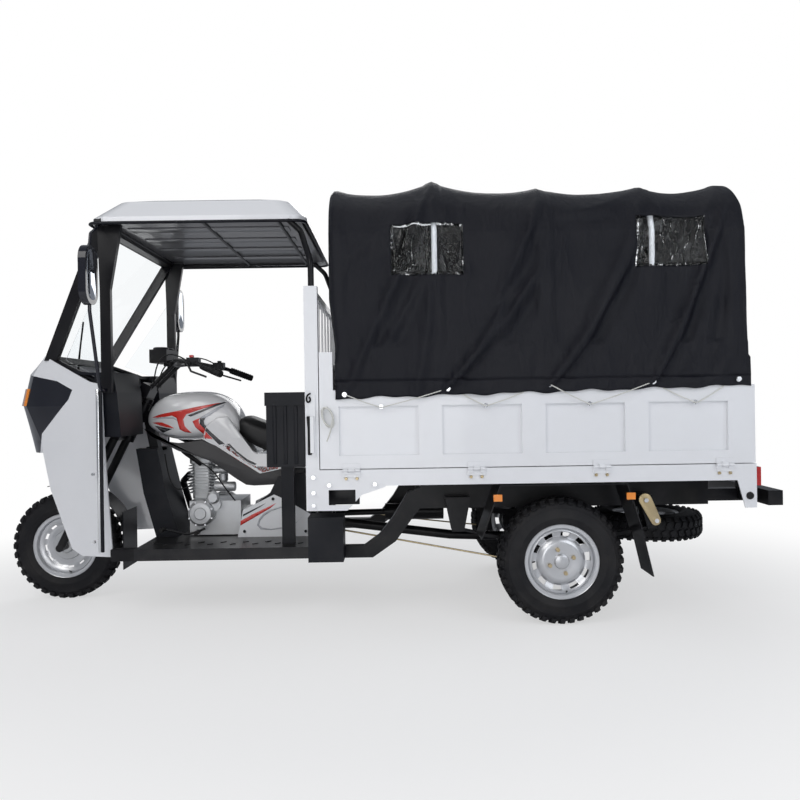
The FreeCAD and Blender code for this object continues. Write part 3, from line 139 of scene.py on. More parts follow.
studioLamps = {
    "key": {"place": (-2.6, -4.2, 4.2), "size": 3.2, "power": 80, "tone": (1.0, 0.98, 0.96)},
    "fill": {"place": (3.2, -3.6, 2.6), "size": 3.0, "power": 46, "tone": (0.93, 0.96, 1.0)},
    "top": {"place": (0.2, 0.3, 5.2), "size": 4.0, "power": 14, "tone": (1.0, 1.0, 1.0)},
    "low": {"place": (-0.4, -5.6, 1.1), "size": 2.6, "power": 42, "tone": (1.0, 1.0, 1.0)},
    "back": {"place": (0.5, 4.5, 3.4), "size": 3.4, "power": 60, "tone": (1.0, 1.0, 1.0)},
}


def buildLamps(lamps):
    target = Vector((0, 0, 0.9))
    for name, facts in lamps.items():
        data = bpy.data.lights.new(name, "AREA")
        data.energy = facts["power"]
        data.size = facts["size"]
        data.color = facts["tone"]
        lamp = bpy.data.objects.new(name, data)
        lamp.location = facts["place"]
        lamp.rotation_euler = (target - lamp.location).to_track_quat("-Z", "Y").to_euler()
        bpy.context.scene.collection.objects.link(lamp)


buildStudio(studio)
buildLamps(studioLamps)
print("studio lit")


def groupTree(name, inputs, outputs):
    tree = bpy.data.node_groups.new(name, "ShaderNodeTree")
    for label, kind, value in inputs:
        socket = tree.interface.new_socket(label, in_out="INPUT", socket_type=kind)
        socket.default_value = value
    for label, kind in outputs:
        tree.interface.new_socket(label, in_out="OUTPUT", socket_type=kind)
    return tree, tree.nodes.new("NodeGroupInput"), tree.nodes.new("NodeGroupOutput")


def mathNode(tree, operation, first, second, clamp=False):
    step = tree.nodes.new("ShaderNodeMath")
    step.operation = operation
    step.use_clamp = clamp
    for slot, value in zip(step.inputs, (first, second)):
        if isinstance(value, (int, float)):
            slot.default_value = value
        else:
            tree.links.new(value, slot)
    return step.outputs[0]


def noiseNode(tree, place, scale, detail=4, rough=0.55):
    texture = tree.nodes.new("ShaderNodeTexNoise")
    texture.inputs["Detail"].default_value = detail
    texture.inputs["Roughness"].default_value = rough
    tree.links.new(place, texture.inputs["Vector"])
    if isinstance(scale, (int, float)):
        texture.inputs["Scale"].default_value = scale
    else:
        tree.links.new(scale, texture.inputs["Scale"])
    return texture.outputs["Fac"]


def rangeNode(tree, value, low, high, toLow=0.0, toHigh=1.0):
    step = tree.nodes.new("ShaderNodeMapRange")
    step.inputs["From Min"].default_value = low
    step.inputs["From Max"].default_value = high
    step.inputs["To Min"].default_value = toLow
    step.inputs["To Max"].default_value = toHigh
    tree.links.new(value, step.inputs["Value"])
    return step.outputs["Result"]


def colorMix(tree, factor, first, second):
    mix = tree.nodes.new("ShaderNodeMix")
    mix.data_type = "RGBA"
    tree.links.new(factor, mix.inputs["Factor"])
    tree.links.new(first, mix.inputs["A"])
    mix.inputs["B"].default_value = second
    return next(s for s in mix.outputs if s.type == "RGBA")


def buildDustGroup():
    # shop dust: thin and patchy, more of it low down
    tree, source, sink = groupTree("shopDust", [
        ("Color", "NodeSocketColor", (0.8, 0.8, 0.8, 1)), ("Roughness", "NodeSocketFloat", 0.4),
        ("Amount", "NodeSocketFloat", 0.15), ("Scale", "NodeSocketFloat", 9.0), ("Tone", "NodeSocketFloat", 0.05),
    ], [("Color", "NodeSocketColor"), ("Roughness", "NodeSocketFloat")])
    place = tree.nodes.new("ShaderNodeTexCoord").outputs["Object"]
    split = tree.nodes.new("ShaderNodeSeparateXYZ")
    tree.links.new(place, split.inputs[0])
    low = rangeNode(tree, split.outputs["Z"], 0.0, 0.9, 1.0, 0.25)
    patches = rangeNode(tree, noiseNode(tree, place, source.outputs["Scale"]), 0.42, 0.72)
    veil = mathNode(tree, "MULTIPLY", mathNode(tree, "MULTIPLY", low, patches), source.outputs["Amount"], True)
    shade = mathNode(tree, "SUBTRACT", noiseNode(tree, place, 2.3, 2), 0.5)
    shade = mathNode(tree, "MULTIPLY", shade, source.outputs["Tone"])
    bright = tree.nodes.new("ShaderNodeBrightContrast")
    tree.links.new(source.outputs["Color"], bright.inputs["Color"])
    tree.links.new(shade, bright.inputs["Bright"])
    dusty = colorMix(tree, veil, bright.outputs[0], (0.34, 0.31, 0.27, 1))
    tree.links.new(dusty, sink.inputs["Color"])
    rougher = mathNode(tree, "ADD", source.outputs["Roughness"], mathNode(tree, "MULTIPLY", veil, 0.6), True)
    tree.links.new(rougher, sink.inputs["Roughness"])
    return tree


def buildGrainGroup():
    # moulded grain or orange peel, as a height
    tree, source, sink = groupTree("fineGrain", [
        ("Scale", "NodeSocketFloat", 400.0), ("Depth", "NodeSocketFloat", 1.0),
    ], [("Height", "NodeSocketFloat")])
    place = tree.nodes.new("ShaderNodeTexCoord").outputs["Object"]
    fine = noiseNode(tree, place, source.outputs["Scale"], 3, 0.6)
    tree.links.new(mathNode(tree, "MULTIPLY", fine, source.outputs["Depth"]), sink.inputs["Height"])
    return tree


def buildCreaseGroup():
    # small soft creases of handled cloth, as a height, with the weave on top
    tree, source, sink = groupTree("clothCreases", [
        ("Scale", "NodeSocketFloat", 6.0), ("Creases", "NodeSocketFloat", 1.0), ("Weave", "NodeSocketFloat", 0.05),
    ], [("Height", "NodeSocketFloat"), ("Mask", "NodeSocketFloat")])
    place = tree.nodes.new("ShaderNodeTexCoord").outputs["Object"]
    turn = tree.nodes.new("ShaderNodeMapping")
    turn.inputs["Rotation"].default_value = (0.0, 0.75, 0.0)
    turn.inputs["Scale"].default_value = (1.6, 1.0, 0.55)
    tree.links.new(place, turn.inputs["Vector"])
    soft = noiseNode(tree, turn.outputs[0], source.outputs["Scale"], 3, 0.5)
    ridge = mathNode(tree, "ABSOLUTE", mathNode(tree, "SUBTRACT", soft, 0.5), 0.0)
    ridge = rangeNode(tree, ridge, 0.0, 0.12, 1.0, 0.0)
    small = noiseNode(tree, place, 38.0, 3, 0.6)
    whole = mathNode(tree, "ADD", mathNode(tree, "MULTIPLY", ridge, 0.7), mathNode(tree, "MULTIPLY", small, 0.25))
    whole = mathNode(tree, "MULTIPLY", whole, source.outputs["Creases"])
    waves = []
    for direction in ("X", "Z"):
        wave = tree.nodes.new("ShaderNodeTexWave")
        wave.bands_direction = direction
        wave.inputs["Scale"].default_value = 260.0
        wave.inputs["Distortion"].default_value = 0.4
        tree.links.new(place, wave.inputs["Vector"])
        waves.append(wave.outputs["Fac"])
    weave = mathNode(tree, "MULTIPLY", mathNode(tree, "MULTIPLY", *waves), source.outputs["Weave"])
    tree.links.new(mathNode(tree, "ADD", whole, weave), sink.inputs["Height"])
    tree.links.new(soft, sink.inputs["Mask"])
    return tree


shopDust, fineGrain, clothCreases = buildDustGroup(), buildGrainGroup(), buildCreaseGroup()


def placeGroup(tree, group, **values):
    step = tree.nodes.new("ShaderNodeGroup")
    step.node_tree = group
    for label, value in values.items():
        step.inputs[label].default_value = value
    return step


def finish(name, color, rough, metal=0.0, coat=0.0, grain=(300.0, 0.0), dust=0.1, tone=0.04, patch=9.0,
           level=0.5):
    material = bpy.data.materials.new(name)
    material.use_nodes = True
    tree = material.node_tree
    shader = tree.nodes["Principled BSDF"]
    cover = placeGroup(tree, shopDust, Color=(*color, 1), Roughness=rough, Amount=dust, Scale=patch, Tone=tone)
    tree.links.new(cover.outputs["Color"], shader.inputs["Base Color"])
    tree.links.new(cover.outputs["Roughness"], shader.inputs["Roughness"])
    shader.inputs["Metallic"].default_value = metal
    shader.inputs["Coat Weight"].default_value = coat
    shader.inputs["Coat Roughness"].default_value = 0.06
    shader.inputs["Specular IOR Level"].default_value = level
    if grain[1]:
        fine = placeGroup(tree, fineGrain, Scale=grain[0], Depth=1.0)
        bump = tree.nodes.new("ShaderNodeBump")
        bump.inputs["Strength"].default_value = 0.5
        bump.inputs["Distance"].default_value = grain[1]
        tree.links.new(fine.outputs["Height"], bump.inputs["Height"])
        tree.links.new(bump.outputs["Normal"], shader.inputs["Normal"])
    return material


def clearFinish(name, color, rough, creases=0.0):
    material = bpy.data.materials.new(name)
    material.use_nodes = True
    tree = material.node_tree
    shader = tree.nodes["Principled BSDF"]
    shader.inputs["Base Color"].default_value = (*color, 1)
    shader.inputs["Roughness"].default_value = rough
    shader.inputs["Transmission Weight"].default_value = 1.0
    shader.inputs["IOR"].default_value = 1.05 if not creases else 1.3
    if creases:
        folds = placeGroup(tree, clothCreases, Scale=14.0, Creases=1.0, Weave=0.0)
        bump = tree.nodes.new("ShaderNodeBump")
        bump.inputs["Strength"].default_value = 0.9
        bump.inputs["Distance"].default_value = creases
        tree.links.new(folds.outputs["Height"], bump.inputs["Height"])
        tree.links.new(bump.outputs["Normal"], shader.inputs["Normal"])
    return material


def fabricFinish(name, color, rough, creases, distance, weave=0.08, scale=5.0):
    material = bpy.data.materials.new(name)
    material.use_nodes = True
    tree = material.node_tree
    shader = tree.nodes["Principled BSDF"]
    cover = placeGroup(tree, shopDust, Color=(*color, 1), Roughness=rough, Amount=0.03, Scale=4.0, Tone=0.012)
    tree.links.new(cover.outputs["Color"], shader.inputs["Base Color"])
    tree.links.new(cover.outputs["Roughness"], shader.inputs["Roughness"])
    folds = placeGroup(tree, clothCreases, Scale=scale, Creases=creases, Weave=weave)
    bump = tree.nodes.new("ShaderNodeBump")
    bump.inputs["Strength"].default_value = 0.6
    bump.inputs["Distance"].default_value = distance
    tree.links.new(folds.outputs["Height"], bump.inputs["Height"])
    tree.links.new(bump.outputs["Normal"], shader.inputs["Normal"])
    shader.inputs["Specular IOR Level"].default_value = 0.3
    return material


paints = {
    "whitePaint": finish("whitePaint", (0.84, 0.85, 0.875), 0.32, coat=0.4, grain=(90, 0.0004), dust=0.10),
    "whitePlastic": finish("whitePlastic", (0.85, 0.86, 0.885), 0.22, coat=0.6, grain=(60, 0.0003), dust=0.05),
    "blackPaint": finish("blackPaint", (0.005, 0.005, 0.007), 0.34, grain=(120, 0.0004), dust=0.05, level=0.3),
    "blackPlastic": finish("blackPlastic", (0.005, 0.006, 0.010), 0.42, grain=(900, 0.0003), dust=0.03,
                           level=0.28),
    "glossBlack": finish("glossBlack", (0.004, 0.005, 0.012), 0.14, coat=0.5, grain=(120, 0.0002),
                         dust=0.02, level=0.4),
    "darkPlastic": finish("darkPlastic", (0.026, 0.025, 0.027), 0.42, grain=(800, 0.0006), dust=0.06),
    "pearlPaint": finish("pearlPaint", (0.78, 0.78, 0.79), 0.22, metal=0.0, coat=1.0, grain=(900, 0.0001),
                         dust=0.02),
    "castMetal": finish("castMetal", (0.62, 0.63, 0.64), 0.42, metal=0.85, grain=(260, 0.0012), dust=0.2,
                        tone=0.14),
    "chrome": finish("chrome", (0.86, 0.87, 0.88), 0.14, metal=1.0, dust=0.05),
    "wheelSilver": finish("wheelSilver", (0.66, 0.67, 0.69), 0.30, metal=0.7, coat=0.3, grain=(200,
                          0.0003), dust=0.15),
    "goldZinc": finish("goldZinc", (0.62, 0.50, 0.30), 0.34, metal=0.9, grain=(160, 0.0006), dust=0.2,
                       tone=0.2),
    "tyreRubber": finish("tyreRubber", (0.008, 0.008, 0.010), 0.60, grain=(500, 0.0006), dust=0.05,
                         tone=0.006, level=0.3),
    "softRubber": finish("softRubber", (0.007, 0.007, 0.008), 0.55, grain=(700, 0.0004), dust=0.05, level=0.3),
    "amberLens": finish("amberLens", (0.90, 0.28, 0.03), 0.12, coat=1.0, grain=(120, 0.002), dust=0.02),
    "redLens": finish("redLens", (0.55, 0.02, 0.02), 0.12, coat=1.0, grain=(120, 0.002), dust=0.02),
    "clearLens": finish("clearLens", (0.62, 0.66, 0.70), 0.08, coat=1.0, grain=(90, 0.003), dust=0.02),
    "mirrorFace": finish("mirrorFace", (0.62, 0.66, 0.72), 0.04, metal=1.0, dust=0.0),
    "stripeRed": finish("stripeRed", (0.66, 0.035, 0.025), 0.22, coat=0.8, dust=0.02),
    "stripeBlack": finish("stripeBlack", (0.03, 0.03, 0.035), 0.24, coat=0.8, dust=0.02),
    "stripeGrey": finish("stripeGrey", (0.50, 0.51, 0.55), 0.26, coat=0.6, dust=0.02),
    "stripeWhite": finish("stripeWhite", (0.86, 0.86, 0.87), 0.24, coat=0.8, dust=0.02),
    "ropeWhite": finish("ropeWhite", (0.70, 0.70, 0.66), 0.85, grain=(600, 0.001), dust=0.1),
    "linerGrey": finish("linerGrey", (0.13, 0.13, 0.14), 0.30, coat=0.3, grain=(14, 0.0040), dust=0.04),
    "seatVinyl": finish("seatVinyl", (0.013, 0.013, 0.014), 0.42, grain=(420, 0.0010), dust=0.05, level=0.4),
    "treadPlate": finish("treadPlate", (0.010, 0.010, 0.012), 0.30, grain=(200, 0.0005), dust=0.06,
                         tone=0.01, level=0.4),
    "coverFabric": fabricFinish("coverFabric", (0.0030, 0.0036, 0.0085), 0.38, 1.0, 0.010),
    "clearVinyl": clearFinish("clearVinyl", (0.93, 0.95, 0.97), 0.06, 0.010),
    "screenGlass": clearFinish("screenGlass", (0.95, 0.97, 0.98), 0.01),
}

nodeFinishes = {
    "whitePaint": ("headboard", "bed_frame", "side_hinges", "tailgate_hinges", "drop_side_left", "drop_side_right",
                   "tailgate", "tarp_hoops", "hoop_bows"),
    "whitePlastic": ("front_fairing", "roof_shell", "side_covers"),
    "blackPaint": ("chassis_frame", "bed_floor", "exhaust", "rear_bumper", "leaf_springs", "rear_axle", "cab_frame",
                   "front_fork", "handlebar", "rear_fenders"),
    "blackPlastic": ("dashboard", "frame_cover", "side_boxes", "box_lid_left", "box_lid_right", "battery_box",
                     "front_fender", "seat_base"),
    "glossBlack": ("nose_panel", "mirrors"),
    "darkPlastic": ("lower_cover",),
    "pearlPaint": ("fuel_tank", "seat_cowl"),
    "castMetal": ("engine_case", "engine_cylinder"),
    "treadPlate": ("footboard",),
    "tyreRubber": ("front_tyre", "rear_left_tyre", "rear_right_tyre", "spare_tyre"),
    "wheelSilver": ("front_rim", "rear_left_rim", "rear_right_rim", "spare_rim"),
    "amberLens": ("lamps",),
    "screenGlass": ("windscreen",),
    "seatVinyl": ("rider_seat",),
    "coverFabric": ("tarp_cover", "tarp_hem_left", "tarp_hem_right"),
}


def dressNodes(finishes):
    for name, parts in finishes.items():
        for part in parts:
            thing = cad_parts[part]
            for slot in thing.material_slots:
                slot.link = "OBJECT"
                slot.material = paints[name]


dressNodes(nodeFinishes)
print("frame painted")


def seatPiece(name, mesh, paint, body, slot, smooth=True, sharp=40):
    mesh.validate()
    if smooth:
        mesh.shade_smooth()
        mesh.set_sharp_from_angle(angle=math.radians(sharp))
    mesh.materials.clear()
    mesh.materials.append(paints[paint])
    thing = bpy.data.objects.new(name, mesh)
    bpy.context.scene.collection.objects.link(thing)
    if body:
        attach(thing, body)
    return thing


def meshFrom(build):
    # runs a bmesh recipe and returns a mesh with its faces outward
    shape = bmesh.new()
    build(shape)
    bmesh.ops.remove_doubles(shape, verts=shape.verts, dist=1e-6)
    bmesh.ops.recalc_face_normals(shape, faces=shape.faces)
    mesh = bpy.data.meshes.new("shape")
    shape.to_mesh(mesh)
    shape.free()
    return mesh


def bakeModifiers(thing):
    graph = bpy.context.evaluated_depsgraph_get()
    mesh = bpy.data.meshes.new_from_object(thing.evaluated_get(graph), preserve_all_data_layers=True,
                                           depsgraph=graph)
    thing.modifiers.clear()
    old = thing.data
    thing.data = mesh
    if old.users == 0:
        (bpy.data.meshes if isinstance(old, bpy.types.Mesh) else bpy.data.curves).remove(old)
    return thing


def lathe(name, profile, centre, paint, body, slot, steps=64, axis="Y", sharp=35):
    # profile is (radius, place along the axis); a closed loop of points gives a closed ring
    def build(shape):
        rings = []
        for i in range(steps):
            angle = math.tau * i / steps
            ring = []
            for radius, along in profile:
                a, b = radius * math.cos(angle), radius * math.sin(angle)
                offset = {"Y": (a, along, b), "X": (along, a, b), "Z": (a, b, along)}[axis]
                ring.append(shape.verts.new(Vector(centre) + Vector(offset)))
            rings.append(ring)
        count = len(profile)
        closed = profile[0][0] > 1e-6 and profile[-1][0] > 1e-6
        for i in range(steps):
            here, there = rings[i], rings[(i + 1) % steps]
            for j in range(count if closed else count - 1):
                k = (j + 1) % count
                shape.faces.new((here[j], here[k], there[k], there[j]))
    return seatPiece(name, meshFrom(build), paint, body, slot, True, sharp)


def tubePiece(name, routes, radius, paint, body, slot, smoothCurve=True, sides=3):
    # one mesh of round tubes along the routes
    curve = bpy.data.curves.new(name, "CURVE")
    curve.dimensions = "3D"
    curve.bevel_depth = radius
    curve.bevel_resolution = sides
    curve.resolution_u = 8
    curve.use_fill_caps = True
    for route in routes:
        spline = curve.splines.new("NURBS" if smoothCurve else "POLY")
        spline.points.add(len(route) - 1)
        for point, place in zip(spline.points, route):
            point.co = (*place, 1)
        if smoothCurve:
            spline.order_u = 3
            spline.use_endpoint_u = True
    thing = bpy.data.objects.new(name, curve)
    bpy.context.scene.collection.objects.link(thing)
    graph = bpy.context.evaluated_depsgraph_get()
    mesh = bpy.data.meshes.new_from_object(thing.evaluated_get(graph))
    bpy.data.objects.remove(thing)
    return seatPiece(name, mesh, paint, body, slot)


def prismPiece(name, outline, low, high, paint, body, slot, plane="XZ", round=0.002):
    # an outline pushed from low to high across its plane, with softened edges
    def build(shape):
        spots = {"XZ": lambda a, b, c: (a, c, b), "YZ": lambda a, b, c: (c, a, b), "XY": lambda a, b, c: (a, b, c)}
        lower = [shape.verts.new(spots[plane](a, b, low)) for a, b in outline]
        upper = [shape.verts.new(spots[plane](a, b, high)) for a, b in outline]
        shape.faces.new(lower)
        shape.faces.new(upper[::-1])
        for i in range(len(outline)):
            j = (i + 1) % len(outline)
            shape.faces.new((lower[i], upper[i], upper[j], lower[j]))
    thing = seatPiece(name, meshFrom(build), paint, None, slot)
    if round:
        bevel = thing.modifiers.new("softEdges", "BEVEL")
        bevel.width = round
        bevel.segments = 2
        bevel.limit_method = "ANGLE"
        bakeModifiers(thing)
        thing.data.shade_smooth()
        thing.data.set_sharp_from_angle(angle=math.radians(50))
    if body:
        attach(thing, body)
    return thing


def boxPiece(name, low, high, paint, body, slot, round=0.003):
    outline = [(low[0], low[2]), (high[0], low[2]), (high[0], high[2]), (low[0], high[2])]
    return prismPiece(name, outline, low[1], high[1], paint, body, slot, "XZ", round)


def fittingTree(name, shape):
    # puts one small shape at every point, turned to the point's facing and along directions
    tree = bpy.data.node_groups.new(name, "GeometryNodeTree")
    tree.interface.new_socket("Geometry", in_out="OUTPUT", socket_type="NodeSocketGeometry")
    tree.interface.new_socket("Geometry", in_out="INPUT", socket_type="NodeSocketGeometry")
    for label, value in (("Width", 0.01), ("Length", 0.01), ("Height", 0.005)):
        socket = tree.interface.new_socket(label, in_out="INPUT", socket_type="NodeSocketFloat")
        socket.default_value = value
    tree.interface.new_socket("Paint", in_out="INPUT", socket_type="NodeSocketMaterial")
    sides = tree.interface.new_socket("Sides", in_out="INPUT", socket_type="NodeSocketInt")
    sides.default_value = 6
    nodes, links = tree.nodes, tree.links
    source, sink = nodes.new("NodeGroupInput"), nodes.new("NodeGroupOutput")
    if shape == "bolt":
        head = nodes.new("GeometryNodeMeshCone")
        links.new(source.outputs["Sides"], head.inputs["Vertices"])
        links.new(source.outputs["Width"], head.inputs["Radius Bottom"])
        links.new(source.outputs["Length"], head.inputs["Radius Top"])
        links.new(source.outputs["Height"], head.inputs["Depth"])
        form = head.outputs["Mesh"]
    else:
        head = nodes.new("GeometryNodeMeshCube")
        size = nodes.new("ShaderNodeCombineXYZ")
        for slot, label in zip(size.inputs, ("Width", "Length", "Height")):
            links.new(source.outputs[label], slot)
        links.new(size.outputs[0], head.inputs["Size"])
        form = head.outputs["Mesh"]
    face = nodes.new("GeometryNodeInputNamedAttribute")
    face.data_type = "FLOAT_VECTOR"
    face.inputs["Name"].default_value = "facing"
    along = nodes.new("GeometryNodeInputNamedAttribute")
    along.data_type = "FLOAT_VECTOR"
    along.inputs["Name"].default_value = "along"
    first = nodes.new("FunctionNodeAlignEulerToVector")
    first.axis = "Z"
    second = nodes.new("FunctionNodeAlignEulerToVector")
    second.axis = "X"
    second.pivot_axis = "Z"
    links.new(face.outputs["Attribute"], first.inputs["Vector"])
    links.new(first.outputs[0], second.inputs["Rotation"])
    links.new(along.outputs["Attribute"], second.inputs["Vector"])
    spread = nodes.new("GeometryNodeInstanceOnPoints")
    links.new(source.outputs["Geometry"], spread.inputs["Points"])
    links.new(form, spread.inputs["Instance"])
    links.new(second.outputs[0], spread.inputs["Rotation"])
    real = nodes.new("GeometryNodeRealizeInstances")
    links.new(spread.outputs[0], real.inputs[0])
    paint = nodes.new("GeometryNodeSetMaterial")
    links.new(real.outputs[0], paint.inputs["Geometry"])
    links.new(source.outputs["Paint"], paint.inputs["Material"])
    links.new(paint.outputs[0], sink.inputs["Geometry"])
    return tree


boltTree, lugTree = fittingTree("boltHeads", "bolt"), fittingTree("treadLugs", "lug")


def fittings(name, tree, spots, sizes, paint, body, sharp=30):
    # spots are (place, facing, along); sizes fill the tree's named inputs
    mesh = bpy.data.meshes.new(name)
    mesh.from_pydata([tuple(place) for place, facing, along in spots], [], [])
    for label, index in (("facing", 1), ("along", 2)):
        attribute = mesh.attributes.new(label, "FLOAT_VECTOR", "POINT")
        for item, spot in zip(attribute.data, spots):
            item.vector = spot[index]
    thing = bpy.data.objects.new(name, mesh)
    bpy.context.scene.collection.objects.link(thing)
    modifier = thing.modifiers.new("fittings", "NODES")
    modifier.node_group = tree
    values = {**sizes, "Paint": paints[paint]}
    for item in tree.interface.items_tree:
        if item.item_type == "SOCKET" and item.in_out == "INPUT" and item.name in values:
            modifier[item.identifier] = values[item.name]
    bakeModifiers(thing)
    thing.data.shade_smooth()
    thing.data.set_sharp_from_angle(angle=math.radians(sharp))
    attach(thing, body)
    return thing


upward, rearward = Vector((0, 0, 1)), Vector((1, 0, 0))


loadCover = {
    "front": -0.134, "rear": 1.694, "wall": 0.0022, "step": 0.0135,
    "halfFoot": 0.7075, "halfShoulder": 0.676, "shoulder": 1.770, "top": 2.040, "seam": 1.112, "ridge": 2.0465,
    "hoops": (-0.106, 0.311, 0.798, 1.283, 1.640), "lifts": (0.0, 0.040, 0.0, 0.0, 0.0),
    "hemFront": 1.034, "hemRear": 1.068, "sagTop": 0.030, "sagSide": 0.010, "frontLean": 0.024,
    "windows": ((0.118, 0.438, 1.577, 1.806), (1.205, 1.512, 1.603, 1.830)),
    "eyelets": ((-0.094, 1.053), (0.359, 1.072), (0.806, 1.083), (1.260, 1.090), (1.635, 1.096)),
}

coverFolds = (  # from x, z to x, z on the side, with width and height
    (-0.094, 1.06, 0.30, 2.00, 0.030, 0.020), (-0.05, 1.10, 0.24, 1.55, 0.022, 0.012),
    (0.00, 1.06, 0.06, 1.45, 0.026, -0.010), (0.22, 1.05, 0.29, 1.62, 0.030, 0.010),
    (0.359, 1.08, 0.78, 1.60, 0.026, 0.020), (0.36, 1.09, 0.62, 1.46, 0.018, 0.014),
    (0.30, 1.98, 0.16, 1.58, 0.022, 0.016), (0.32, 1.98, 0.46, 1.60, 0.022, 0.012),
    (0.60, 1.50, 0.79, 1.97, 0.028, 0.016), (0.70, 1.72, 0.80, 1.98, 0.020, 0.010),
    (0.806, 1.09, 1.22, 1.72, 0.026, 0.022), (0.83, 1.10, 1.06, 1.44, 0.018, 0.014),
    (1.00, 1.40, 1.27, 1.97, 0.030, 0.016), (0.90, 1.85, 1.26, 1.98, 0.026, 0.010),
    (1.260, 1.10, 1.62, 1.92, 0.026, 0.024), (1.27, 1.10, 1.46, 1.50, 0.018, 0.014),
    (1.30, 1.62, 1.62, 1.98, 0.022, 0.012), (1.50, 1.10, 1.60, 1.60, 0.028, -0.012),
    (1.40, 1.12, 1.58, 1.22, 0.030, -0.010), (-0.12, 1.62, 0.26, 1.96, 0.034, 0.008),
)


def coverProfile(sizes):
    # half of the section from the hem up to the crown, as evenly stepped points
    foot, side, shoulder, top = sizes["halfFoot"], sizes["halfShoulder"], sizes["shoulder"], sizes["top"]
    corners = [(foot, sizes["hemFront"]), (foot, sizes["seam"]), (side, shoulder), (side * 0.93, shoulder + 0.130),
               (side * 0.72, top - 0.037), (side * 0.40, top - 0.009), (0.0, top)]
    curve = []
    for i in range(len(corners) - 1):
        a, b = Vector(corners[i]), Vector(corners[i + 1])
        before = Vector(corners[i - 1]) if i > 2 else a
        after = Vector(corners[i + 2]) if 1 < i < len(corners) - 2 else b
        tangentA, tangentB = (b - before) * 0.5, (after - a) * 0.5
        if i < 2:
            tangentA = tangentB = b - a
        if i == len(corners) - 2:
            tangentB = Vector((-1, 0)) * (b - a).length
        count = max(2, round((b - a).length / sizes["step"]))
        for k in range(count):
            t = k / count
            h = (2 * t ** 3 - 3 * t ** 2 + 1, t ** 3 - 2 * t ** 2 + t, 3 * t ** 2 - 2 * t ** 3, t ** 3 - t ** 2)
            curve.append(a * h[0] + tangentA * h[1] + b * h[2] + tangentB * h[3])
    curve.append(Vector(corners[-1]))
    return curve


def snapTo(values, targets):
    values = list(values)
    for target in targets:
        nearest = min(range(len(values)), key=lambda i: abs(values[i] - target))
        values[nearest] = target
    return values


def hoopWave(x, sizes):
    # 0 at a hoop and 1 midway between two, with the lift of the hoops around x
    hoops, lifts = sizes["hoops"], sizes["lifts"]
    if x <= hoops[0] or x >= hoops[-1]:
        return 0.0, 0.0
    for i in range(len(hoops) - 1):
        if hoops[i] <= x <= hoops[i + 1]:
            t = (x - hoops[i]) / (hoops[i + 1] - hoops[i])
            sag = math.sin(math.pi * t) ** 0.8
            rise = lifts[i] * (1 - t) ** 1.6 + lifts[i + 1] * t ** 1.6
            return sag, rise


def foldHeight(x, z, folds, lean):
    total = 0.0
    for x0, z0, x1, z1, width, height in folds:
        dx, dz = x1 - x0, z1 - z0
        length = math.hypot(dx, dz)
        t = ((x - x0) * dx + (z - z0) * dz) / length ** 2
        inside = max(0.0, min(1.0, t))
        bend = math.sin(inside * math.pi) * lean
        away = ((x - x0) * dz - (z - z0) * dx) / length - bend
        past = (t - inside) * length
        spread = width * 0.75 * (0.55 + 0.9 * math.sin(math.pi * (0.15 + 0.7 * inside)))
        fade = math.exp(-(past / 0.05) ** 2) * (0.35 + 0.65 * math.sin(math.pi * (0.1 + 0.8 * inside)))
        skew = away / spread
        crest = math.exp(-abs(skew) ** 1.15) - 0.45 * math.exp(-((skew - 1.9) / 1.1) ** 2)
        total += 1.5 * height * fade * crest
    return total


